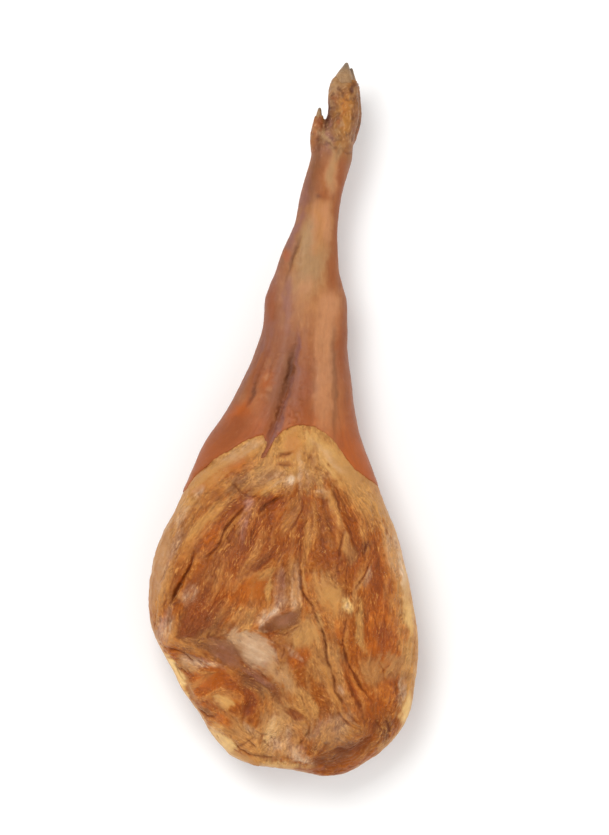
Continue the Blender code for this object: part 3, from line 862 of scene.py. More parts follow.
def paint_patches(weights, patches, places, raggedness, strands, soft=0.8):
    """Lays each patch of pigment over the plan grid, in order."""
    for patch in patches:
        reach = 1.5 * max(patch.long, patch.wide) + 8
        rows, columns = window([(patch.x, patch.y)], reach)
        x, y = places[0][rows, columns], places[1][rows, columns]
        u, v = turned(x - patch.x, y - patch.y, patch.lean)
        r = np.hypot(u / patch.long, v / patch.wide) + 0.28 * raggedness[rows, columns]
        amount = patch.cover * smoothstep(0.9 + soft / 2, 0.9 - soft / 2, r)
        if patch.pigment in VEILS:
            amount = amount * (0.35 + 0.65 * strands[rows, columns])
        for name in weights:
            weights[name][rows, columns] *= 1 - amount
        weights[patch.pigment][rows, columns] += amount


def raise_forms(rises, places):
    """Height of the rounded rises and hollows over the plan grid."""
    height = np.zeros(GRID_X.shape)
    for rise in rises:
        rows, columns = window([(rise.x, rise.y)], 2.4 * max(rise.long, rise.wide))
        x = 0.5 * (places[0][rows, columns] + GRID_X[rows, columns])
        y = 0.5 * (places[1][rows, columns] + GRID_Y[rows, columns])
        u, v = turned(x - rise.x, y - rise.y, rise.lean)
        r = np.hypot(u / rise.long, v / rise.wide)
        height[rows, columns] += rise.height * (1 - smoothstep(0.25, 1.35, r))
    return height


# ---------------------------------------------------------------- the ham's form
def neighbour_mean(points, edges, counts):
    """The mean of each point's neighbours."""
    means = np.empty_like(points)
    for k in range(3):
        total = np.bincount(edges[:, 0], points[edges[:, 1], k], len(points))
        total += np.bincount(edges[:, 1], points[edges[:, 0], k], len(points))
        means[:, k] = total / counts
    return means


def mesh_arrays(mesh):
    """A mesh's points, its faces of four corners, and its points' normals."""
    points = np.empty(len(mesh.vertices) * 3)
    mesh.vertices.foreach_get("co", points)
    normals = np.empty(len(mesh.vertices) * 3)
    mesh.vertex_normals.foreach_get("vector", normals)
    corners = np.empty(len(mesh.loops), np.int64)
    mesh.loops.foreach_get("vertex_index", corners)
    return points.reshape(-1, 3), corners.reshape(-1, 4), normals.reshape(-1, 3)


def changed(mesh, add_modifiers):
    """A copy of a mesh with modifiers applied, which the given function adds."""
    obj = bpy.data.objects.new("work", mesh)
    bpy.context.scene.collection.objects.link(obj)
    add_modifiers(obj)
    graph = bpy.context.evaluated_depsgraph_get()
    made = bpy.data.meshes.new_from_object(obj.evaluated_get(graph))
    bpy.data.objects.remove(obj)
    return made


def smooth_form(spacing):
    """The CAD ham without its facets, as points, faces and normals, in table millimetres."""
    def remesh(obj):
        modifier = obj.modifiers.new("remesh", "REMESH")
        modifier.mode = "VOXEL"
        modifier.voxel_size = 2 * spacing * MM

    def subdivide(obj):
        obj.modifiers.new("subdivide", "SUBSURF").levels = 1

    mesh = changed(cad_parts["ham"].data.copy(), remesh)
    points, _, _ = mesh_arrays(mesh)
    edges = np.empty(len(mesh.edges) * 2, np.int64)
    mesh.edges.foreach_get("vertices", edges)
    edges = edges.reshape(-1, 2)
    counts = np.bincount(edges.ravel(), minlength=len(points))
    loose = 1 - 0.85 * smoothstep(290 * MM, 322 * MM, points[:, 1])[:, None]
    for _ in range(34):
        for strength in (0.6, -0.62):
            points += strength * loose * (neighbour_mean(points, edges, counts) - points)
    mesh.vertices.foreach_set("co", points.ravel())
    mesh.update()
    mesh = changed(mesh, subdivide)
    points, faces, normals = mesh_arrays(mesh)
    return points / MM, faces, normals


def skin_depth(x, y, z):
    """How far inside the skin's cut edge a place on the ham lies; below 0 is trimmed face."""
    gap = path_gap(SKIN_EDGE, x, y)[0]
    edge = np.array(SKIN_EDGE, float)
    above = np.zeros(np.shape(x), int)  # even-odd count of edge pieces crossed on the way up
    for (ax, ay), (bx, by) in zip(edge, edge[1:]):
        spans = (x >= min(ax, bx)) & (x < max(ax, bx))
        if ax != bx:
            crossing = ay + (x - ax) * (by - ay) / (bx - ax)
            above += spans & (crossing > y)
    over = np.where(above % 2 == 0, gap, -gap)
    wander = 3.0 * noise((x / 24, y / 24), 41) + 1.0 * noise((x / 7, y / 7), 42)
    side = SKIN_EDGE_HEIGHT + wander - z
    ragged = 0.5 * noise((x / 5, y / 5, z / 5), 43) + 0.3 * noise((x / 2, y / 2, z / 2), 44)
    blend = np.maximum(6 - np.abs(over - side), 0) / 6
    return np.maximum(over, side) + 1.5 * blend * blend + ragged


def closed_patch(points, faces, chosen, inner, apex):
    """A solid from some faces: a wall goes in from their edge, and a fan closes it."""
    kept = faces[chosen]
    one_way = np.concatenate([np.stack([kept[:, k], kept[:, (k + 1) % 4]], 1) for k in range(4)])
    key = one_way[:, 0] * len(points) + one_way[:, 1]
    back = one_way[:, 1] * len(points) + one_way[:, 0]
    rim = one_way[~np.isin(key, back)]
    used = np.unique(kept)
    new_index = np.full(len(points), -1)
    new_index[used] = np.arange(len(used))
    rim_points = np.unique(rim)
    inner_index = np.full(len(points), -1)
    inner_index[rim_points] = len(used) + np.arange(len(rim_points))
    apex_index = len(used) + len(rim_points)
    all_points = np.vstack([points[used], inner[rim_points], [apex]])
    wall = np.stack([
        new_index[rim[:, 1]], new_index[rim[:, 0]], inner_index[rim[:, 0]], inner_index[rim[:, 1]],
    ], 1)
    fan = np.stack([
        inner_index[rim[:, 1]], inner_index[rim[:, 0]], np.full(len(rim), apex_index),
    ], 1)
    return all_points, np.vstack([new_index[kept], wall]), fan


def new_mesh(name, points, quads, triangles=()):
    """A mesh from arrays of table-millimetre points, with smooth shading."""
    mesh = bpy.data.meshes.new(name)
    triangles = np.asarray(triangles, np.int64).reshape(-1, 3)
    corners = np.concatenate([np.asarray(quads).ravel(), triangles.ravel()])
    totals = np.concatenate([np.full(len(quads), 4), np.full(len(triangles), 3)])
    starts = np.concatenate([[0], np.cumsum(totals)[:-1]])
    mesh.vertices.add(len(points))
    mesh.vertices.foreach_set("co", (np.asarray(points) * MM).ravel())
    mesh.loops.add(len(corners))
    mesh.loops.foreach_set("vertex_index", corners)
    mesh.polygons.add(len(totals))
    mesh.polygons.foreach_set("loop_start", starts)
    mesh.polygons.foreach_set("use_smooth", np.ones(len(totals), bool))
    mesh.update(calc_edges=True)
    mesh.validate()
    return mesh


def thinned(mesh, limit):
    """The mesh cut down to at most this many triangles, where its shape needs them least."""
    triangles = sum(len(p.vertices) - 2 for p in mesh.polygons)
    if triangles <= limit:
        return mesh

    def decimate(obj):
        modifier = obj.modifiers.new("thin", "DECIMATE")
        modifier.ratio = limit / triangles
        modifier.use_collapse_triangulate = True

    return changed(mesh, decimate)


def add_values(mesh, name, values):
    """Stores one number for each point of a mesh, for its material to read."""
    attribute = mesh.attributes.new(name, "FLOAT", "POINT")
    attribute.data.foreach_set("value", np.asarray(values, np.float32))


def add_pigments(mesh, weights, order):
    """Stores how far each pigment covers those before it in the order."""
    total = weights[order[0]].copy()
    for name in order[1:]:
        total += weights[name]
        add_values(mesh, name, weights[name] / np.maximum(total, 1e-6))


def add_threads(mesh, fields, x, y, strength):
    """Stores the direction of the fine threads and how strongly they show."""
    for name in ("run_cosine", "run_sine"):
        add_values(mesh, name, plan_value(fields[name], x, y))
    add_values(mesh, "threads", strength)


def finished_piece(name, mesh, material):
    """Puts a piece in the scene, in place of the plain CAD ham."""
    mesh.materials.clear()
    mesh.materials.append(material)
    mesh.polygons.foreach_set("material_index", np.zeros(len(mesh.polygons), np.int32))
    mesh.polygons.foreach_set("use_smooth", np.ones(len(mesh.polygons), bool))
    piece = bpy.data.objects.new(name, mesh)
    bpy.context.scene.collection.objects.link(piece)
    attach(piece, "root")
    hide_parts("ham")
    return piece


_shared = {}


def shared(name, make):
    """What make() gives, worked out once for all the operators."""
    if name not in _shared:
        _shared[name] = make()
    return _shared[name]


def ham_form():
    """The smooth ham with its depth inside the skin, worked out once."""
    def make():
        points, faces, normals = smooth_form(bpy.context.scene.ham_sizes.point_spacing / MM)
        return points, faces, normals, skin_depth(*points.T)
    return shared("form", make)


def places_and_fibres():
    """The ragged plan places and the fibres' directions, worked out once."""
    return shared("places", lambda: (ragged_places(), fibre_directions()))


# ---------------------------------------------------------------- the trimmed face
FACE_PIGMENTS = (
    "lean", "fat", "amber", "red", "dark", "umber", "tan", "bone", "violet", "pale",
    "butter", "white",
)


FACE_KINDS = ("grainy", "fibrous", "ridged", "crumbly", "smooth")


def face_fields(sizes):
    """Height, shadow and pigments of the face over the plan grid."""
    places, directions = places_and_fibres()
    coords = (GRID_X, GRID_Y)
    fine = folds(fibre_grain(directions, 1.8, 16, 51))
    coarse = folds(fibre_grain(directions, 3.4, 26, 52))
    crests = -folds(fibre_grain(directions, 2.4, 4, 54))
    strand_grain = fibre_grain(directions, 2.6, 16, 57)
    bundles = fibre_grain(directions, 7.0, 30, 53)
    rolls = fibre_grain(directions, 15.0, 40, 56)
    fading = smoothstep(-0.35, 0.4, rough_noise(coords, 16.0, 55))

    weights = {name: np.zeros(GRID_X.shape) for name in FACE_PIGMENTS}
    weights["lean"] += 1
    covered(weights, "amber", 0.5 * smoothstep(-0.1, 0.5, rough_noise(coords, 26.0, 63)))
    gap = path_gap(SKIN_EDGE, *places)[0]
    band = 1 - smoothstep(12, 27, gap + 7 * rough_noise(coords, 12.0, 61))
    covered(weights, "tan", 0.6 * band)
    covered(weights, "fat", 0.7 * band)
    raggedness = 0.7 * rough_noise(coords, 7.0, 62, 4) + 0.3 * bundles + 0.25 * rolls
    raggedness += 0.35 * strand_grain
    strands = smoothstep(-0.9, 0.9, strand_grain + 0.5 * rough_noise(coords, 4.0, 66))
    paint_patches(weights, FACE_PATCHES, places, raggedness, strands)

    kinds = {name: np.zeros(GRID_X.shape) for name in FACE_KINDS}
    kinds["grainy"] += 1
    paint_patches(kinds, FACE_TEXTURES, places, raggedness, strands)
    lean = np.arctan2(*directions)
    lean = lean + (2.4 * kinds["crumbly"] + 1.3 * kinds["grainy"]) * rough_noise(coords, 7.0, 67)
    strength = 0.6 + 0.7 * smoothstep(-0.25, 0.3, rough_noise(coords, 13.0, 68))
    uneven = 1 - 0.75 * kinds["smooth"]
    covered(weights, "red", 0.34 * uneven * smoothstep(0.2, 1.6, -0.7 * bundles - 0.5 * rolls))
    covered(weights, "tan", 0.34 * uneven * smoothstep(0.2, 1.6, 0.7 * bundles + 0.5 * rolls))
    grain = rough_noise(coords, 2.6, 73, 2)
    grain = grain / grain.std()
    lumps = rough_noise(coords, 6.0, 74, 2)
    crumbs = smoothstep(0.02, 0.42, cracked_noise(places[0], places[1], 5.2, 81)) - 0.7
    relief = kinds["grainy"] * (0.35 * grain + 1.6 * lumps + 0.7 * crests + 0.8 * coarse)
    relief += kinds["fibrous"] * (fine * (1.4 - fading) + 1.4 * fading * coarse + 1.0 * bundles)
    relief += kinds["ridged"] * (0.8 * fading * coarse + 2.2 * bundles + 0.4 * grain)
    relief += kinds["crumbly"] * (0.9 * crumbs + 0.4 * grain + 1.4 * crests + 0.8 * coarse)
    relief += kinds["smooth"] * (0.15 * grain + 0.8 * lumps)
    height = 1.3 * raise_forms(FACE_RISES, places) + 1.3 * rough_noise(coords, 17.0, 71)
    height += 0.8 * (1 - kinds["smooth"]) * rolls
    height += sizes.fibre_depth / MM * relief
    pits = smoothstep(0.5, 0.8, rough_noise(coords, 3.2, 83, 2))
    height -= 0.35 * pits * kinds["crumbly"]

    shadow = np.zeros(GRID_X.shape)
    press_creases(height, shadow, stray_creases(directions, sizes.stray_creases, 91), places)
    press_creases(height, shadow, FACE_CREASES, places)
    # Painted shade beside the creases: red laid in a soft band along them.
    crease_shade = np.clip(1.6 * blurred(shadow, 3.2), 0, 0.6) * (0.6 + 0.6 * raggedness)
    covered(weights, "red", np.clip(crease_shade, 0, 0.6))
    # Painted shade and highlight of the relief: the hollow value is positive where a place lies below its
    # blurred surroundings, for painted shade, and negative where it stands above them, for a painted highlight.
    hollow = np.clip((blurred(height, 1.8) - height) / 1.2, -1, 1)
    broad = np.clip((blurred(height, 6.0) - height) / 2.6, -1, 1)
    wide = np.clip((blurred(height, 14.0) - blurred(height, 2.0)) / 3.5, -1, 1)
    tone = (0.4 - 0.3 * kinds["crumbly"]) * hollow + 0.45 * broad + 0.65 * wide
    tone = np.clip(tone, -1, 1)
    return {
        "height": height,
        "shadow": shadow,
        "hollow": np.where(tone < 0, tone * (1 - 0.8 * kinds["smooth"]), tone),
        "run_cosine": np.cos(2 * lean),
        "run_sine": np.sin(2 * lean),
        "threads": strength * (0.7 + 0.3 * kinds["fibrous"] - 0.6 * kinds["smooth"]),
        # painted shade and highlight of the fine relief: above 0.5 on its tops, below 0.5 in its valleys
        "fibre": np.clip(0.5 + 0.1 * relief * (1 - 0.6 * kinds["crumbly"]), 0, 1),
        "weights": weights,
    }


def make_face(sizes, material):
    """The trimmed face: lean, fat and bone, with its rim tucked under the skin."""
    points, faces, normals, depth = ham_form()
    fields = face_fields(sizes)
    x, y, z = points.T
    upward = smoothstep(0.12, 0.55, normals[:, 2])
    lumps = 0.9 * rough_noise(list(points.T), 14.0, 101) + 0.4 * rough_noise(list(points.T), 4.0, 102)
    rise = upward * plan_value(fields["height"], x, y) + (1 - upward) * lumps
    under_skin = smoothstep(-1.5, 1.5, depth)
    rise = rise * (1 - 0.8 * under_skin) - 0.5 * under_skin - 0.35 * np.maximum(depth, 0)
    shaped = points + rise[:, None] * normals
    inner = shaped - 6.0 * normals
    chosen = depth[faces].max(1) < 4.0
    apex = (0.0, -190.0, 48.0)
    mesh = new_mesh("trimmed_face", *closed_patch(shaped, faces, chosen, inner, apex))
    mesh = thinned(mesh, sizes.most_triangles)

    mesh.update()
    made = np.empty(len(mesh.vertices) * 3)
    mesh.vertices.foreach_get("co", made)
    facing = np.empty(len(mesh.vertices) * 3)
    mesh.vertex_normals.foreach_get("vector", facing)
    x, y, z = made.reshape(-1, 3).T / MM
    coords = (x, y, z)
    weights = {name: plan_value(field, x, y) for name, field in fields["weights"].items()}
    facing_up = facing.reshape(-1, 3)[:, 2]
    rim = smoothstep(0.42, 0.1, facing_up + 0.1 * rough_noise(coords, 9.0, 111))
    # On the side-facing rim fat covers the face, and on the lower left and the right the butter yellow is
    # partly the rim's own yellow fat and partly painted light that brightens the turned-away rim.
    yellow = smoothstep(-225, -265, y) * smoothstep(-20, -60, x) + smoothstep(110, 135, x)
    covered(weights, "fat", 0.85 * rim)
    covered(weights, "butter", 0.35 * rim * np.clip(yellow, 0, 1))
    covered(weights, "tan", 0.7 * rim * smoothstep(-250, -220, y) * smoothstep(-60, -110, x))
    clouds = rough_noise(coords, 26.0, 112) + 0.4 * rough_noise(coords, 6.0, 113)
    runs = rough_noise((x, y, z / 4), 8.0, 114) + 0.3 * rough_noise(coords, 4.0, 115)
    covered(weights, "pale", 0.55 * rim * smoothstep(0.0, 0.6, clouds))
    covered(weights, "amber", 0.45 * rim * smoothstep(0.05, 0.7, -clouds))
    covered(weights, "tan", 0.5 * rim * smoothstep(0.0, 0.5, runs))
    covered(weights, "umber", 0.3 * rim * smoothstep(0.2, 0.7, -runs))
    add_pigments(mesh, weights, FACE_PIGMENTS)
    # Painted shade of creases and hollows, and painted shade and highlight of the fine relief, faded out on the
    # side-facing rim.
    plain = 1 - smoothstep(0.25, 0.6, facing_up)
    for name in ("shadow", "hollow"):
        add_values(mesh, name, plan_value(fields[name], x, y) * (1 - plain))
    add_values(mesh, "fibre", plan_value(fields["fibre"], x, y) * (1 - plain) + 0.5 * plain)
    add_threads(mesh, fields, x, y, plan_value(fields["threads"], x, y) * (1 - 0.6 * plain))
    return finished_piece("trimmed_face", mesh, material)


# ---------------------------------------------------------------- the skin
SKIN_PIGMENTS = (
    "hide", "tan", "amber", "red", "umber", "ochre", "dark", "violet", "gold", "beige",
)


def skin_fields(sizes):
    """Height, shadow and pigments of the skin's upper side over the plan grid."""
    places, directions = places_and_fibres()
    coords = (GRID_X, GRID_Y)
    fine = fibre_grain(directions, 1.8, 12, 151)
    coarse = fibre_grain(directions, 5.0, 24, 152)
    weights = {name: np.zeros(GRID_X.shape) for name in SKIN_PIGMENTS}
    weights["hide"] += 1
    foot = smoothstep(288, 312, GRID_Y + 8 * rough_noise(coords, 10.0, 174))
    covered(weights, "violet", 0.4 * smoothstep(0.0, 0.6, rough_noise(coords, 30.0, 163)))
    covered(weights, "tan", 0.35 * smoothstep(0.05, 0.6, rough_noise(coords, 22.0, 164)))
    covered(weights, "amber", 0.5 * smoothstep(60, -60, GRID_Y + 30 * rough_noise(coords, 40.0, 165)))
    covered(weights, "red", 0.35 * smoothstep(0.1, 0.6, rough_noise(coords, 20.0, 166)))
    raggedness = rough_noise(coords, 9.0, 162, 4)
    strands = smoothstep(-0.9, 0.9, coarse + 0.8 * rough_noise(coords, 8.0, 167))
    paint_patches(weights, SKIN_PATCHES, places, raggedness, strands, 1.2)
    height = 0.6 * rough_noise(coords, 18.0, 171) + 0.04 * fine + 0.07 * coarse
    height += foot * (1.6 * rough_noise(coords, 8.0, 172) + 0.8 * rough_noise(coords, 3.4, 173, 2))
    lean = np.arctan2(*directions) + 1.6 * foot * rough_noise(coords, 9.0, 175)
    shadow = np.zeros(GRID_X.shape)
    press_creases(height, shadow, SKIN_CREASES, places)
    # Painted shade and highlight of the skin's relief, as on the face.
    hollow = np.clip((blurred(height, 2.2) - height) / 1.0, -1, 1)
    return {
        "height": height,
        "shadow": shadow,
        "hollow": hollow,
        # painted shade and highlight of the grain that also raises the skin
        "fibre": np.clip(0.5 + 0.12 * fine + 0.14 * coarse, 0, 1),
        "run_cosine": np.cos(2 * lean),
        "run_sine": np.sin(2 * lean),
        "threads": 0.35 + 0.65 * foot,
        "weights": weights,
    }


def tucked(points, along, axis, start):
    """Draws the tip of a toe in towards its axis, so that it ends inside its claw."""
    amount = 0.55 * smoothstep(start, start + 4.0, along)[:, None]
    target = np.stack([np.full(len(points), axis[0]), points[:, 1], points[:, 2]], 1)
    near = np.where(points[:, 2] > axis[1], 1, -1)
    target[:, 2] = axis[1] + near * 8.0
    return points + amount * (target - points)


def make_skin(sizes, material):
    """The cured skin: shank, foot and underside, up to its cut edge."""
    points, faces, normals, depth = ham_form()
    fields = skin_fields(sizes)
    x, y, z = points.T
    coords = list(points.T)
    upward = smoothstep(0.0, 0.45, normals[:, 2])
    foot = smoothstep(285, 315, y)
    wrinkles = 0.5 * rough_noise(coords, 16.0, 181) + (0.12 + 0.3 * foot) * rough_noise(coords, 5.0, 182)
    rise = upward * plan_value(fields["height"], x, y) + (1 - upward) * wrinkles
    resting = smoothstep(1.5, 6.0, z)  # the flat patch underneath stays flat
    pressed = 0.12 + 0.3 * np.abs(rough_noise(coords, 5.0, 185))
    rise = rise * resting - (1 - resting) * pressed
    thickness = sizes.skin_edge / MM
    rise += thickness * smoothstep(0.0, 2.2, depth) * (1 - smoothstep(14, 40, depth)) * resting
    chosen = depth[faces].mean(1) > 0.0

    rim_points = np.unique(faces[chosen])
    near = rim_points[np.abs(depth[rim_points]) < 1.6]
    here = points[near]
    step = 0.4
    slope = np.stack([
        (skin_depth(*(here + step * axis).T) - skin_depth(*(here - step * axis).T)) / (2 * step)
        for axis in np.eye(3)
    ], 1)
    slope -= (slope * normals[near]).sum(1, keepdims=True) * normals[near]
    steep = np.maximum((slope**2).sum(1, keepdims=True), 0.25)
    move = -depth[near][:, None] * slope / steep
    reach = np.linalg.norm(move, axis=1, keepdims=True)
    outside = (depth[near] < 0.9)[:, None]
    moved = points.copy()
    moved[near] += np.where(outside, move * np.minimum(1, 1.4 / np.maximum(reach, 1e-6)), 0)

    shaped = moved + rise[:, None] * normals
    ragged = 3.0 * rough_noise(coords, 5.0, 183, 2)
    base = 376.5 + 8.0 * smoothstep(66, 56, x) + ragged
    shaped = tucked(shaped, y, (68.0, 71.0), base)
    shaped = tucked(shaped, np.where(x < 46, y, 0), (40.0, 70.0), 339.0)
    inner = shaped - (thickness + 2.5) * normals
    apex = (0.0, -190.0, 40.0)
    mesh = new_mesh("skin", *closed_patch(shaped, faces, chosen, inner, apex))
    mesh = thinned(mesh, sizes.most_triangles)

    mesh.update()
    made = np.empty(len(mesh.vertices) * 3)
    mesh.vertices.foreach_get("co", made)
    facing = np.empty(len(mesh.vertices) * 3)
    mesh.vertex_normals.foreach_get("vector", facing)
    x, y, z = made.reshape(-1, 3).T / MM
    coords = (x, y, z)
    facing_up = facing.reshape(-1, 3)[:, 2]
    top = smoothstep(-0.1, 0.35, facing_up)
    weights = {name: plan_value(field, x, y) * top for name, field in fields["weights"].items()}
    weights["hide"] = weights["hide"] + 1 - top
    under = 1 - top
    foot = smoothstep(288, 312, y + 8 * rough_noise(coords, 10.0, 184))
    speckles = smoothstep(0.0, 0.5, rough_noise(coords, 5.0, 168, 2))
    covered(weights, "beige", 0.5 * foot * speckles)
    covered(weights, "dark", 0.5 * foot * smoothstep(0.15, 0.6, rough_noise(coords, 5.5, 169, 2)))
    covered(weights, "amber", 0.6 * under * smoothstep(0.0, 0.5, rough_noise(coords, 38.0, 191)))
    covered(weights, "tan", 0.6 * under * smoothstep(0.05, 0.55, rough_noise(coords, 30.0, 192)))
    covered(weights, "violet", 0.5 * under * smoothstep(0.1, 0.6, rough_noise(coords, 34.0, 193)))
    covered(weights, "umber", 0.6 * under * smoothstep(0.2, 0.6, rough_noise(coords, 18.0, 194)))
    add_pigments(mesh, weights, SKIN_PIGMENTS)
    # Painted shade of creases and hollows, and painted shade and highlight of the skin's grain, on the upper
    # side only.
    for name in ("shadow", "hollow"):
        add_values(mesh, name, plan_value(fields[name], x, y) * top)
    add_values(mesh, "fibre", plan_value(fields["fibre"], x, y) * top + 0.5 * under)
    add_threads(mesh, fields, x, y, plan_value(fields["threads"], x, y))
    return finished_piece("skin", mesh, material)


# ---------------------------------------------------------------- the claws
def lofted(rings):
    """Points, faces of four and end fans of a solid skinned over rings of points."""
    count = len(rings[0])
    points = [point for ring in rings for point in ring]
    quads = []
    for r in range(len(rings) - 1):
        for i in range(count):
            j = (i + 1) % count
            quads.append((r * count + i, r * count + j, (r + 1) * count + j, (r + 1) * count + i))
    first, last = np.mean(rings[0], axis=0), np.mean(rings[-1], axis=0)
    points += [tuple(first), tuple(last)]
    a, b = len(points) - 2, len(points) - 1
    start = (len(rings) - 1) * count
    fans = [((i + 1) % count, i, a) for i in range(count)]
    fans += [(start + i, start + (i + 1) % count, b) for i in range(count)]
    return points, quads, fans


def dense_rows(rows, spacing):
    """Rows between the given ones, on straight lines, about this far apart."""
    rows = np.array(rows, float)
    made = []
    for a, b in zip(rows, rows[1:]):
        steps = max(1, round(abs(b[0] - a[0]) / spacing))
        made += [a + (b - a) * k / steps for k in range(steps)]
    return made + [rows[-1]]


def claw_rings(side, across, back):
    """Rings of one main claw, flat on the side that faces its neighbour."""
    rings = []
    angles = np.linspace(0, 2 * math.pi, 56, endpoint=False)
    for along, left, right, thick in dense_rows(CLAW_ROWS, 1.0):
        c, s = np.cos(angles), np.sin(angles)
        power = 2 / 2.5
        u = np.sign(c) * np.abs(c) ** power * (right - left) / 2 + (left + right) / 2
        w = (np.sign(s) * np.abs(s) ** power + 1) / 2 * thick
        rows = 0.22 * noise((angles * 3, np.full(56, along / 2.1)), 201)
        grown = 1 + (0.012 * math.sin(along * 2.3) + 0.02 * rows) * smoothstep(376, 379, along)
        middle = (left + right) / 2
        ragged = 0.6 * noise((angles * 2.2, np.full(56, 0.5)), 202) * (along < 380)
        rings.append([
            (middle + (a - middle) * g + across, along + back + rag,
             CLEFT_HEIGHT + side * (0.5 + b * g))
            for a, b, g, rag in zip(u, w, np.broadcast_to(grown, u.shape), ragged)
        ])
    return rings if side > 0 else [ring[::-1] for ring in rings]


def dewclaw_rings(height, across, back):
    """Rings of one dewclaw's horn tip."""
    rings = []
    angles = np.linspace(0, 2 * math.pi, 32, endpoint=False)
    for along, middle, wide in dense_rows(DEWCLAW_ROWS, 0.9):
        grown = wide / 2 * (1 + 0.03 * noise((angles * 3, np.full(32, along / 2)), 203))
        rings.append([
            (middle + across + g * math.cos(a), along + back, height + g * math.sin(a))
            for a, g in zip(angles, grown)
        ])
    return rings


def make_horn(name, rings, material):
    """One piece of horn from its rings."""
    points, quads, fans = lofted(rings)
    mesh = new_mesh(name, points, quads, fans)

    def round_off(obj):
        obj.modifiers.new("round", "SUBSURF").levels = 1

    mesh = changed(mesh, round_off)
    made = np.empty(len(mesh.vertices) * 3)
    mesh.vertices.foreach_get("co", made)
    along = made.reshape(-1, 3)[:, 1] / MM
    span = along.max() - along.min()
    add_values(mesh, "tip", smoothstep(0.45, 1.0, (along - along.min()) / span))
    return finished_piece(name, mesh, material)


# ---------------------------------------------------------------- shader groups
FIBRE_WAYS = 6  # directions between which the fine threads are blended


def new_group(name, inputs, outputs):
    """An empty shader node group with named sockets, and its two end nodes."""
    group = bpy.data.node_groups.new(name, "ShaderNodeTree")
    for label, kind, default in inputs:
        socket = group.interface.new_socket(label, in_out="INPUT", socket_type=kind)
        if default is not None:
            socket.default_value = default
    for label, kind in outputs:
        group.interface.new_socket(label, in_out="OUTPUT", socket_type=kind)
    return group, group.nodes.new("NodeGroupInput"), group.nodes.new("NodeGroupOutput")


class Wiring:
    """Short calls for adding and joining nodes of one tree."""

    def __init__(self, tree):
        self.tree = tree

    def put(self, target, value):
        """Joins a socket to another, or sets its number or colour."""
        if isinstance(value, bpy.types.NodeSocket):
            self.tree.links.new(value, target)
        elif value is not None:
            target.default_value = value

    def node(self, kind, *values, **settings):
        """Adds a node, with its inputs in order and its settings by name."""
        node = self.tree.nodes.new(kind)
        for key, value in settings.items():
            setattr(node, key, value)
        for socket, value in zip(node.inputs, values):
            self.put(socket, value)
        return node

    def math(self, operation, *values, clamp=False):
        return self.node("ShaderNodeMath", *values, operation=operation, use_clamp=clamp).outputs[0]

    def mix(self, factor, first, second, blend="MIX"):
        node = self.node("ShaderNodeMix", data_type="RGBA", blend_type=blend)
        node.clamp_factor = True
        for key, value in (("Factor_Float", factor), ("A_Color", first), ("B_Color", second)):
            socket = next(s for s in node.inputs if s.identifier == key)
            if isinstance(value, tuple) and len(value) == 3:
                value = (*value, 1)
            self.put(socket, value)
        return next(s for s in node.outputs if s.identifier == "Result_Color")

    def noise(self, vector, scale, detail=3.0, roughness=0.55, stretch=None):
        """Noise from -0.5 to 0.5 or so, at this many lumps to the metre."""
        if stretch is not None:
            vector = self.node("ShaderNodeMapping", vector, None, None, stretch).outputs[0]
        node = self.node("ShaderNodeTexNoise")
        node.inputs["Scale"].default_value = scale
        node.inputs["Detail"].default_value = detail
        node.inputs["Roughness"].default_value = roughness
        self.put(node.inputs["Vector"], vector)
        return self.math("SUBTRACT", node.outputs[0], 0.5)

    def value(self, name):
        """A number stored at the mesh's points."""
        node = self.node("ShaderNodeAttribute")
        node.attribute_name = name
        return node.outputs["Fac"]

    def group(self, group, **values):
        """Places a node group, with its inputs by name."""
        node = self.node("ShaderNodeGroup", node_tree=group)
        for key, value in values.items():
            self.put(node.inputs[key.replace("_", " ").capitalize()], value)
        return node


def muscle_fibre_group():
    """Fine threads along a direction, given by the cosine and sine of twice its lean."""
    def make():
        group, given, out = new_group(
            "Muscle fibres",
            (("Place", "NodeSocketVector", None), ("Cosine", "NodeSocketFloat", 1.0),
             ("Sine", "NodeSocketFloat", 0.0), ("Fineness", "NodeSocketFloat", 600.0)),
            (("Threads", "NodeSocketFloat"),),
        )
        w = Wiring(group)
        total = 0.0
        for k in range(FIBRE_WAYS):
            lean = math.pi * k / FIBRE_WAYS
            along = w.math("MULTIPLY", given.outputs["Cosine"], math.cos(2 * lean))
            along = w.math("MULTIPLY_ADD", given.outputs["Sine"], math.sin(2 * lean), along)
            share = w.math("POWER", w.math("MAXIMUM", along, 0.0), 4.0)
            strung = w.node(
                "ShaderNodeMapping", given.outputs["Place"], (0.13 * k, 0.0, 0.0),
                (0.0, 0.0, -lean), (1.0, 5.0, 1.0), vector_type="TEXTURE",
            )
            threads = w.node("ShaderNodeTexNoise")
            threads.inputs["Detail"].default_value = 1.5
            w.put(threads.inputs["Vector"], strung.outputs[0])
            w.put(threads.inputs["Scale"], given.outputs["Fineness"])
            threads = w.math("SUBTRACT", threads.outputs[0], 0.5)
            total = w.math("MULTIPLY_ADD", share, threads, total)
        w.put(out.inputs["Threads"], total)
        return group
    return shared("muscle fibres", make)


def ragged_mask_group():
    """Breaks up a soft mask with a fine pattern, so that its edge frays instead of fading."""
    def make():
        group, given, out = new_group(
            "Ragged mask",
            (("Mask", "NodeSocketFloat", 0.0), ("Pattern", "NodeSocketFloat", 0.0),
             ("Strength", "NodeSocketFloat", 1.6)),
            (("Mask", "NodeSocketFloat"),),
        )
        w = Wiring(group)
        spread = w.math("MULTIPLY", given.outputs["Pattern"], given.outputs["Strength"])
        mask = given.outputs["Mask"]
        open_part = w.math("MULTIPLY", mask, w.math("SUBTRACT", 1.0, mask))
        open_part = w.math("MULTIPLY", open_part, 4.0)
        moved = w.math("MULTIPLY_ADD", spread, open_part, mask, clamp=True)
        w.put(out.inputs["Mask"], moved)
        return group
    return shared("ragged mask", make)


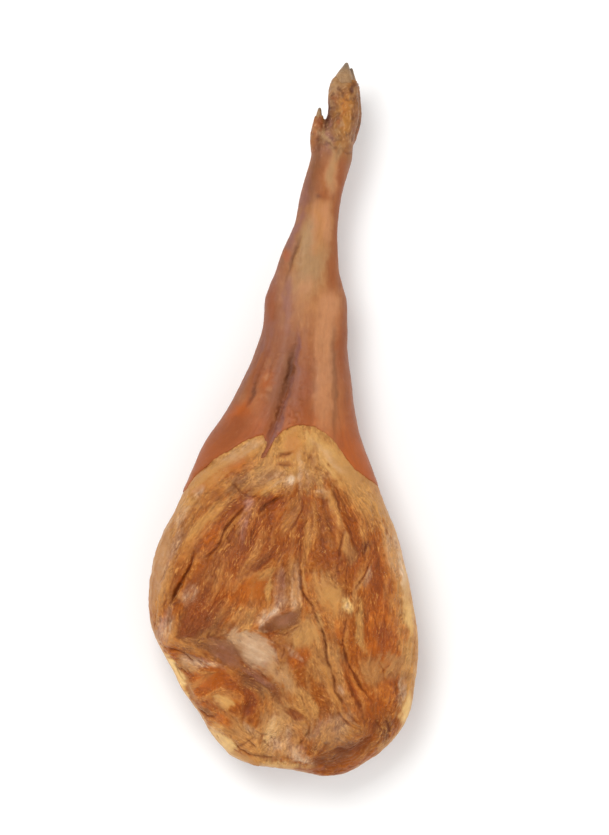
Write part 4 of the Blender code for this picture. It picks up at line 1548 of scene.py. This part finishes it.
def cured_mottle_group():
    """The uneven tone of dried flesh: cloudy patches, fine grain and pale dry specks."""
    def make():
        group, given, out = new_group(
            "Cured mottle",
            (("Colour", "NodeSocketColor", (0.5, 0.3, 0.1, 1)), ("Place", "NodeSocketVector", None),
             ("Clouds", "NodeSocketFloat", 0.3), ("Grain", "NodeSocketFloat", 0.4),
             ("Specks", "NodeSocketFloat", 0.3)),
            (("Colour", "NodeSocketColor"), ("Height", "NodeSocketFloat")),
        )
        w = Wiring(group)
        place = given.outputs["Place"]
        clouds = w.math("MULTIPLY", w.noise(place, 60, 4, 0.6), given.outputs["Clouds"])
        grain = w.noise(place, 620, 3, 0.7)
        fine = w.math("MULTIPLY", grain, given.outputs["Grain"])
        tone = w.math("ADD", w.math("ADD", clouds, fine), 1.0)
        toned = w.node("ShaderNodeVectorMath", given.outputs["Colour"], operation="SCALE")
        w.put(toned.inputs["Scale"], tone)
        specks = w.noise(place, 900, 2, 0.5)
        area = w.noise(place, 45, 3, 0.6)
        dots = w.math("MULTIPLY_ADD", area, 0.35, specks)
        dots = w.node("ShaderNodeMapRange", dots, 0.16, 0.3, 0.0, 1.0).outputs[0]
        dots = w.math("MULTIPLY", dots, given.outputs["Specks"])
        w.put(out.inputs["Colour"], w.mix(dots, toned.outputs[0], rgb(226, 190, 150)))
        w.put(out.inputs["Height"], w.math("MULTIPLY_ADD", grain, 0.4, dots))
        return group
    return shared("mottle", make)


def dried_relief_group():
    """The normal of a dried surface: fine wrinkles over broader puckers."""
    def make():
        group, given, out = new_group(
            "Dried relief",
            (("Height", "NodeSocketFloat", 0.0), ("Place", "NodeSocketVector", None),
             ("Wrinkles", "NodeSocketFloat", 1.0), ("Puckers", "NodeSocketFloat", 1.0),
             ("Depth", "NodeSocketFloat", 0.0004)),
            (("Normal", "NodeSocketVector"),),
        )
        w = Wiring(group)
        place = given.outputs["Place"]
        wrinkles = w.noise(place, 900, 4, 0.65)
        wrinkles = w.math("MULTIPLY", wrinkles, given.outputs["Wrinkles"])
        puckers = w.noise(place, 240, 3, 0.55)
        puckers = w.math("MULTIPLY", puckers, given.outputs["Puckers"])
        total = w.math("ADD", w.math("ADD", wrinkles, puckers), given.outputs["Height"])
        bump = w.node("ShaderNodeBump")
        bump.inputs["Strength"].default_value = 0.8
        w.put(bump.inputs["Distance"], given.outputs["Depth"])
        w.put(bump.inputs["Height"], total)
        w.put(out.inputs["Normal"], bump.outputs["Normal"])
        return group
    return shared("relief", make)


# ---------------------------------------------------------------- materials
def new_material(name):
    """A material with its wiring, its Principled shader and its object coordinates."""
    material = bpy.data.materials.new(name)
    material.use_nodes = True
    w = Wiring(material.node_tree)
    surface = material.node_tree.nodes["Principled BSDF"]
    place = w.node("ShaderNodeTexCoord").outputs["Object"]
    return material, w, surface, place


def pigment_colour(w, pattern, order, colours, fray):
    """The pigments laid over each other by their stored masks."""
    colour = (*colours[order[0]], 1)
    for name in order[1:]:
        mask = w.group(ragged_mask_group(), mask=w.value(name), pattern=pattern)
        mask.inputs["Strength"].default_value = fray
        colour = w.mix(mask.outputs["Mask"], colour, tuple(colours[name]))
    return colour


def flesh_material(name, order, colours, look):
    """A dried, waxy surface of several pigments, with painted shade in its creases and hollows and painted
    highlights on its rises and fibres.
    """
    material, w, surface, place = new_material(name)
    fibres = w.group(
        muscle_fibre_group(), place=place, cosine=w.value("run_cosine"), sine=w.value("run_sine"))
    fibres.inputs["Fineness"].default_value = look["fineness"]
    threads = w.math("MULTIPLY", fibres.outputs["Threads"], w.value("threads"))
    pattern = w.math("MULTIPLY_ADD", w.noise(place, look["grain"], 3), look["blotch"], threads)
    colour = pigment_colour(w, pattern, order, colours, look["fray"])
    # Painted shade and highlight of the fine relief: the colour is scaled darker where the relief and the
    # threads sink and lighter where they stand up.
    fibre = w.math("SUBTRACT", w.value("fibre"), 0.5)
    relief_shade_and_highlight = w.math("MULTIPLY_ADD", fibre, look["fibre"], 0.97)
    relief_shade_and_highlight = w.math("MULTIPLY_ADD", w.math("MAXIMUM", threads, -0.12), look["thread"], relief_shade_and_highlight)
    relief_shaded_colour = w.node("ShaderNodeVectorMath", colour, operation="SCALE")
    w.put(relief_shaded_colour.inputs["Scale"], relief_shade_and_highlight)
    mottle = w.group(cured_mottle_group(), colour=relief_shaded_colour.outputs[0], place=place)
    mottle.inputs["Clouds"].default_value = look["clouds"]
    mottle.inputs["Grain"].default_value = look["mottle"]
    mottle.inputs["Specks"].default_value = look["specks"]
    # Painted shade in the hollows of the relief, towards the crease colour, and painted highlight on its rises,
    # towards the ridge colour.
    hollow = w.value("hollow")
    hollow_shade_mask = w.math("MULTIPLY", hollow, look["hollow"], clamp=True)
    rise_highlight_mask = w.math("MULTIPLY", hollow, -look["ridge"], clamp=True)
    colour = w.mix(hollow_shade_mask, mottle.outputs["Colour"], tuple(colours["crease"]))
    colour = w.mix(rise_highlight_mask, colour, tuple(colours["ridge"]))
    dry = w.node("ShaderNodeMapRange", w.noise(place, 70, 3, 0.6), -0.14, 0.1, 0.0, 1.0)
    strings = w.node("ShaderNodeMapRange", threads, 0.05, 0.16, 0.0, look["strings"]).outputs[0]
    colour = w.mix(w.math("MULTIPLY", strings, dry.outputs[0]), colour, tuple(colours["string"]))
    shadow = w.group(ragged_mask_group(), mask=w.value("shadow"), pattern=pattern)
    shadow.inputs["Strength"].default_value = 0.9
    dark = w.math("MULTIPLY", shadow.outputs["Mask"], look["shadow"], clamp=True)
    colour = w.mix(dark, colour, tuple(colours["shadow"]))
    w.put(surface.inputs["Base Color"], colour)
    gloss = w.noise(place, 130, 3, 0.6)
    rough = w.math("MULTIPLY_ADD", gloss, 0.25, look["roughness"])
    rough = w.math("MULTIPLY_ADD", shadow.outputs["Mask"], 0.2, rough, clamp=True)
    w.put(surface.inputs["Roughness"], rough)
    height = w.math("MULTIPLY_ADD", threads, look["strands"], mottle.outputs["Height"])
    relief = w.group(dried_relief_group(), height=height, place=place)
    relief.inputs["Wrinkles"].default_value = look["wrinkles"]
    relief.inputs["Puckers"].default_value = look["puckers"]
    relief.inputs["Depth"].default_value = look["depth"]
    w.put(surface.inputs["Normal"], relief.outputs["Normal"])
    surface.inputs["Specular IOR Level"].default_value = look["specular"]
    surface.inputs["Subsurface Weight"].default_value = look["glow"]
    surface.inputs["Subsurface Radius"].default_value = (1.0, 0.45, 0.2)
    surface.inputs["Subsurface Scale"].default_value = 0.0015
    return material


def horn_material(colours):
    """Dull, streaked horn, greyer towards the tip."""
    material, w, surface, place = new_material("claw horn")
    streaks = w.noise(place, 500, 4, 0.6, stretch=(1.0, 0.12, 1.0))
    colour = w.mix(w.math("MULTIPLY_ADD", streaks, 1.6, 0.35, clamp=True),
                   tuple(colours.horn), tuple(colours.horn_streak))
    tip = w.group(ragged_mask_group(), mask=w.value("tip"), pattern=w.noise(place, 450, 4))
    colour = w.mix(w.math("MULTIPLY", tip.outputs["Mask"], 0.75), colour, tuple(colours.horn_tip))
    mottle = w.group(cured_mottle_group(), colour=colour, place=place)
    mottle.inputs["Clouds"].default_value = 0.5
    mottle.inputs["Grain"].default_value = 0.5
    mottle.inputs["Specks"].default_value = 0.35
    w.put(surface.inputs["Base Color"], mottle.outputs["Colour"])
    rings = w.node("ShaderNodeTexNoise")
    rings.inputs["Scale"].default_value = 700
    stretched = w.node("ShaderNodeMapping", place, None, None, (0.2, 1.0, 0.2)).outputs[0]
    w.put(rings.inputs["Vector"], stretched)
    height = w.math("MULTIPLY_ADD", rings.outputs[0], 1.2, mottle.outputs["Height"])
    relief = w.group(dried_relief_group(), height=height, place=place)
    relief.inputs["Depth"].default_value = 0.0005
    w.put(surface.inputs["Normal"], relief.outputs["Normal"])
    w.put(surface.inputs["Roughness"], w.math("MULTIPLY_ADD", streaks, 0.3, 0.55))
    return material


def floor_material(colour):
    """A plain pale studio floor."""
    material, w, surface, place = new_material("studio floor")
    cloud = w.noise(place, 3, 2, 0.5)
    tone = w.math("MULTIPLY_ADD", cloud, 0.015, 1.0)
    toned = w.node("ShaderNodeVectorMath", (*colour,), operation="SCALE")
    w.put(toned.inputs["Scale"], tone)
    w.put(surface.inputs["Base Color"], toned.outputs[0])
    surface.inputs["Roughness"].default_value = 0.9
    surface.inputs["Specular IOR Level"].default_value = 0.1
    return material


# ---------------------------------------------------------------- settings
def colour_property(name, description, red, green, blue):
    """A colour that the sidebar shows."""
    return FloatVectorProperty(
        name=name, description=description, subtype="COLOR", size=3, min=0, max=1,
        default=rgb(red, green, blue),
    )


def length_property(name, description, default, low, high):
    """A length in metres that the sidebar shows."""
    return FloatProperty(
        name=name, description=description, default=default, min=low, max=high,
        subtype="DISTANCE", unit="LENGTH", precision=5,
    )


class HamSizes(bpy.types.PropertyGroup):
    """Sizes of the ham's relief and mesh."""
    point_spacing: length_property(
        "Point spacing", "Distance between points of the fine mesh", 1.1 * MM, 0.0005, 0.01)
    fibre_depth: length_property(
        "Fibre depth", "Height of the lean's dried fibres", 0.38 * MM, 0.0, 0.003)
    skin_edge: length_property(
        "Skin edge", "How far the skin's cut edge stands above the face", 0.8 * MM, 0.0, 0.004)
    stray_creases: IntProperty(
        name="Stray creases", description="Number of fine creases strewn over the face",
        default=110, min=0, max=1000)
    most_triangles: IntProperty(
        name="Most triangles", description="Triangles that the face or the skin may have",
        default=192000, min=20000, max=1000000)


class FaceColours(bpy.types.PropertyGroup):
    """Colours of the trimmed face."""
    lean: colour_property("Lean", "Dried lean meat", 144, 72, 5)
    fat: colour_property("Fat", "Golden fat", 188, 134, 70)
    amber: colour_property("Amber", "Translucent orange meat", 168, 82, 2)
    red: colour_property("Red", "Red-brown lean", 132, 58, 4)
    dark: colour_property("Dark", "Darkest lean", 98, 48, 16)
    umber: colour_property("Umber", "Brown gristle", 128, 78, 38)
    tan: colour_property("Tan", "Smooth tan rim", 178, 126, 70)
    bone: colour_property("Bone", "Cut bone", 176, 138, 102)
    violet: colour_property("Violet", "Purplish sheath and vein", 164, 112, 92)
    # Pale and White are also used for painted highlights on some ridges and rims, besides dry sheath and salt
    # spots, and Butter is partly painted light that keeps the turned-away rims bright.
    pale: colour_property("Pale", "Pale dry sheath", 200, 162, 126)
    butter: colour_property("Butter", "Bright yellow fat", 236, 192, 120)
    white: colour_property("White", "Salt-white spots", 232, 206, 176)
    # Crease is the painted shade that the relief's hollows are drawn towards, and the ridge colour is the
    # painted highlight of its rises.
    crease: colour_property("Crease", "Bottom of a fold", 112, 50, 8)
    ridge: colour_property("Ridge", "Highlighted top of a ridge", 206, 142, 66)
    string: colour_property("String", "Pale dried threads", 212, 154, 78)
    shadow: colour_property("Shadow", "Depth of a deep crease", 96, 42, 10)


class SkinColours(bpy.types.PropertyGroup):
    """Colours of the cured skin."""
    hide: colour_property("Hide", "Red-brown skin", 146, 86, 50)
    tan: colour_property("Tan", "Pale band over the shin", 184, 126, 84)
    amber: colour_property("Amber", "Orange stained skin", 166, 80, 20)
    red: colour_property("Red", "Deep red-brown skin", 138, 70, 30)
    ochre: colour_property("Ochre", "Olive brown skin of the foot", 138, 94, 36)
    umber: colour_property("Umber", "Brown tendon lines", 118, 70, 38)
    # Dark also draws painted shade in the gap beside the dewclaw.
    dark: colour_property("Dark", "Darkest folds", 80, 40, 24)
    violet: colour_property("Violet", "Greyish purple skin", 134, 88, 78)
    gold: colour_property("Gold", "Thin golden skin over the toe", 168, 110, 46)
    beige: colour_property("Beige", "Pale dry skin of the hock", 160, 122, 82)
    # Crease is the painted shade that the skin's hollows are drawn towards, and the ridge colour is the painted
    # highlight of its rises.
    crease: colour_property("Crease", "Bottom of a wrinkle", 104, 54, 30)
    ridge: colour_property("Ridge", "Highlighted top of a wrinkle", 196, 140, 92)
    string: colour_property("String", "Pale scuffs", 206, 160, 120)
    shadow: colour_property("Shadow", "Depth of a fold", 72, 34, 22)


class HornColours(bpy.types.PropertyGroup):
    """Colours of the claws."""
    horn: colour_property("Horn", "Horn of the claws", 164, 126, 84)
    horn_streak: colour_property("Streak", "Darker streaks in the horn", 124, 88, 52)
    horn_tip: colour_property("Tip", "Greyish tips", 104, 88, 70)


class StageSettings(bpy.types.PropertyGroup):
    """Floor, lamps and camera."""
    floor: colour_property("Floor", "Pale studio floor", 250, 250, 249)
    camera_height: length_property(
        "Camera height", "From the ham's widest line up to the lens", 4.0, 1.0, 20.0)
    view_length: length_property(
        "View length", "Length of the stage that the picture's height shows",
        938.2 * MM, 0.2, 5.0)
    key_power: FloatProperty(
        name="Key lamp", description="Power of the large key lamp", default=25.5, min=0.0,
        subtype="POWER", unit="POWER")
    fill_power: FloatProperty(
        name="Fill lamps", description="Power of each low fill lamp", default=10.5, min=0.0,
        subtype="POWER", unit="POWER")
    sky: FloatProperty(
        name="Surroundings", description="Strength of the white surroundings", default=0.6,
        min=0.0)


def colours_of(group):
    """A settings group's colours by name."""
    return {name: tuple(getattr(group, name)) for name in group.__annotations__}


# ---------------------------------------------------------------- operators
class HAM_OT_trimmed_face(bpy.types.Operator):
    """Build the trimmed face of lean, fat and cut bone"""
    bl_idname = "ham.trimmed_face"
    bl_label = "Trimmed Face"

    def execute(self, context):
        # The fibre, thread, hollow, ridge and shadow numbers set how strong the painted shade and highlights
        # are.
        look = dict(
            fineness=620.0, grain=170.0, blotch=0.5, fray=0.62, fibre=0.7, thread=1.45,
            strings=0.45, strands=1.9, clouds=0.25, mottle=0.2, specks=0.35, hollow=0.55,
            ridge=0.4, shadow=0.82, roughness=0.45, wrinkles=0.5, puckers=0.6,
            depth=0.0006, specular=0.2, glow=0.05,
        )
        colours = colours_of(context.scene.face_colours)
        material = flesh_material("trimmed flesh", FACE_PIGMENTS, colours, look)
        make_face(context.scene.ham_sizes, material)
        return {"FINISHED"}


class HAM_OT_skin(bpy.types.Operator):
    """Build the cured skin of the shank, foot and underside"""
    bl_idname = "ham.skin"
    bl_label = "Skin"

    def execute(self, context):
        # The fibre, thread, hollow, ridge and shadow numbers set how strong the painted shade and highlights
        # are.
        look = dict(
            fineness=420.0, grain=120.0, blotch=0.6, fray=0.7, fibre=0.12, thread=0.5,
            strings=0.25, strands=0.8, clouds=0.2, mottle=0.12, specks=0.04, hollow=0.35,
            ridge=0.15, shadow=0.6, roughness=0.5, wrinkles=0.35, puckers=0.4,
            depth=0.0004, specular=0.22, glow=0.05,
        )
        colours = colours_of(context.scene.skin_colours)
        material = flesh_material("cured skin", SKIN_PIGMENTS, colours, look)
        make_skin(context.scene.ham_sizes, material)
        return {"FINISHED"}


class HAM_OT_claws(bpy.types.Operator):
    """Build the horn of the two claws and the two dewclaws"""
    bl_idname = "ham.claws"
    bl_label = "Claws"

    def execute(self, context):
        material = horn_material(context.scene.horn_colours)
        for n, place in enumerate(CLAW_PLACES, 1):
            make_horn(f"claw_{n}", claw_rings(*place), material)
        for n, place in enumerate(DEWCLAW_PLACES, 1):
            make_horn(f"dewclaw_{n}", dewclaw_rings(*place), material)
        return {"FINISHED"}


def aimed(obj, place, target):
    """Puts a lamp or camera somewhere and turns it to face a target."""
    obj.location = place
    obj.rotation_euler = (Vector(target) - Vector(place)).to_track_quat("-Z", "Y").to_euler()


def add_lamp(name, power, size, place, target):
    """A soft square lamp."""
    lamp = bpy.data.lights.new(name, "AREA")
    lamp.energy = power
    lamp.size = size
    obj = bpy.data.objects.new(name, lamp)
    bpy.context.scene.collection.objects.link(obj)
    aimed(obj, place, target)


class HAM_OT_stage(bpy.types.Operator):
    """Set the pale floor, the soft lamps and the camera"""
    bl_idname = "ham.stage"
    bl_label = "Stage"

    def execute(self, context):
        scene, stage = context.scene, context.scene.stage_settings
        half = 4.0
        corners = [(-half, -half, 0), (half, -half, 0), (half, half, 0), (-half, half, 0)]
        mesh = bpy.data.meshes.new("floor")
        mesh.from_pydata(corners, [], [(0, 1, 2, 3)])
        mesh.materials.append(floor_material(tuple(stage.floor)))
        floor = bpy.data.objects.new("floor", mesh)
        scene.collection.objects.link(floor)
        floor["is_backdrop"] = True

        middle = (0.0, -0.05, 0.05)
        add_lamp("key", stage.key_power, 1.0, (-0.5, 0.75, 2.0), middle)
        add_lamp("fill right", stage.fill_power, 1.6, (1.5, -0.5, 0.9), middle)
        add_lamp("fill left", stage.fill_power, 1.6, (-1.2, -1.2, 0.9), middle)
        world = bpy.data.worlds.new("white surroundings")
        world.use_nodes = True
        world.node_tree.nodes["Background"].inputs["Color"].default_value = (1, 1, 1, 1)
        world.node_tree.nodes["Background"].inputs["Strength"].default_value = stage.sky
        scene.world = world
        scene.view_settings.view_transform = "Standard"

        camera = bpy.data.objects.new("camera", bpy.data.cameras.new("camera"))
        scene.collection.objects.link(camera)
        camera.data.lens = camera.data.sensor_width * stage.camera_height / stage.view_length
        widest = 64 * MM
        camera.location = (23.6 * MM, 2.8 * MM, widest + stage.camera_height)
        camera.rotation_euler = (0, 0, 0)
        scene.camera = camera
        return {"FINISHED"}


class HAM_PT_sidebar(bpy.types.Panel):
    """The ham's pieces and settings"""
    bl_idname = "HAM_PT_sidebar"
    bl_label = "Cured Ham"
    bl_space_type = "VIEW_3D"
    bl_region_type = "UI"
    bl_category = "Ham"

    def draw(self, context):
        for operator in OPERATORS:
            self.layout.operator(operator.bl_idname)
        for attribute, group in SETTINGS.items():
            box = self.layout.box()
            box.label(text=group.__doc__)
            for name in group.__annotations__:
                box.prop(getattr(context.scene, attribute), name)


SETTINGS = {
    "ham_sizes": HamSizes,
    "face_colours": FaceColours,
    "skin_colours": SkinColours,
    "horn_colours": HornColours,
    "stage_settings": StageSettings,
}
OPERATORS = (HAM_OT_trimmed_face, HAM_OT_skin, HAM_OT_claws, HAM_OT_stage)
CLASSES = (*SETTINGS.values(), *OPERATORS, HAM_PT_sidebar)


def register():
    for cls in CLASSES:
        bpy.utils.register_class(cls)
    for attribute, group in SETTINGS.items():
        setattr(bpy.types.Scene, attribute, PointerProperty(type=group))


def unregister():
    for attribute in SETTINGS:
        delattr(bpy.types.Scene, attribute)
    for cls in reversed(CLASSES):
        bpy.utils.unregister_class(cls)


def main():
    """Builds every piece and works out the CAD's and the visual model's boxes."""
    register()
    bpy.ops.ham.trimmed_face()
    bpy.ops.ham.skin()
    bpy.ops.ham.claws()
    bpy.ops.ham.stage()
    boxes = {
        "cad": [list(corner) for corner in CAD_BOX],
        "visual": [list(corner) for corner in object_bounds()],
    }


if __name__ == "__main__":
    main()
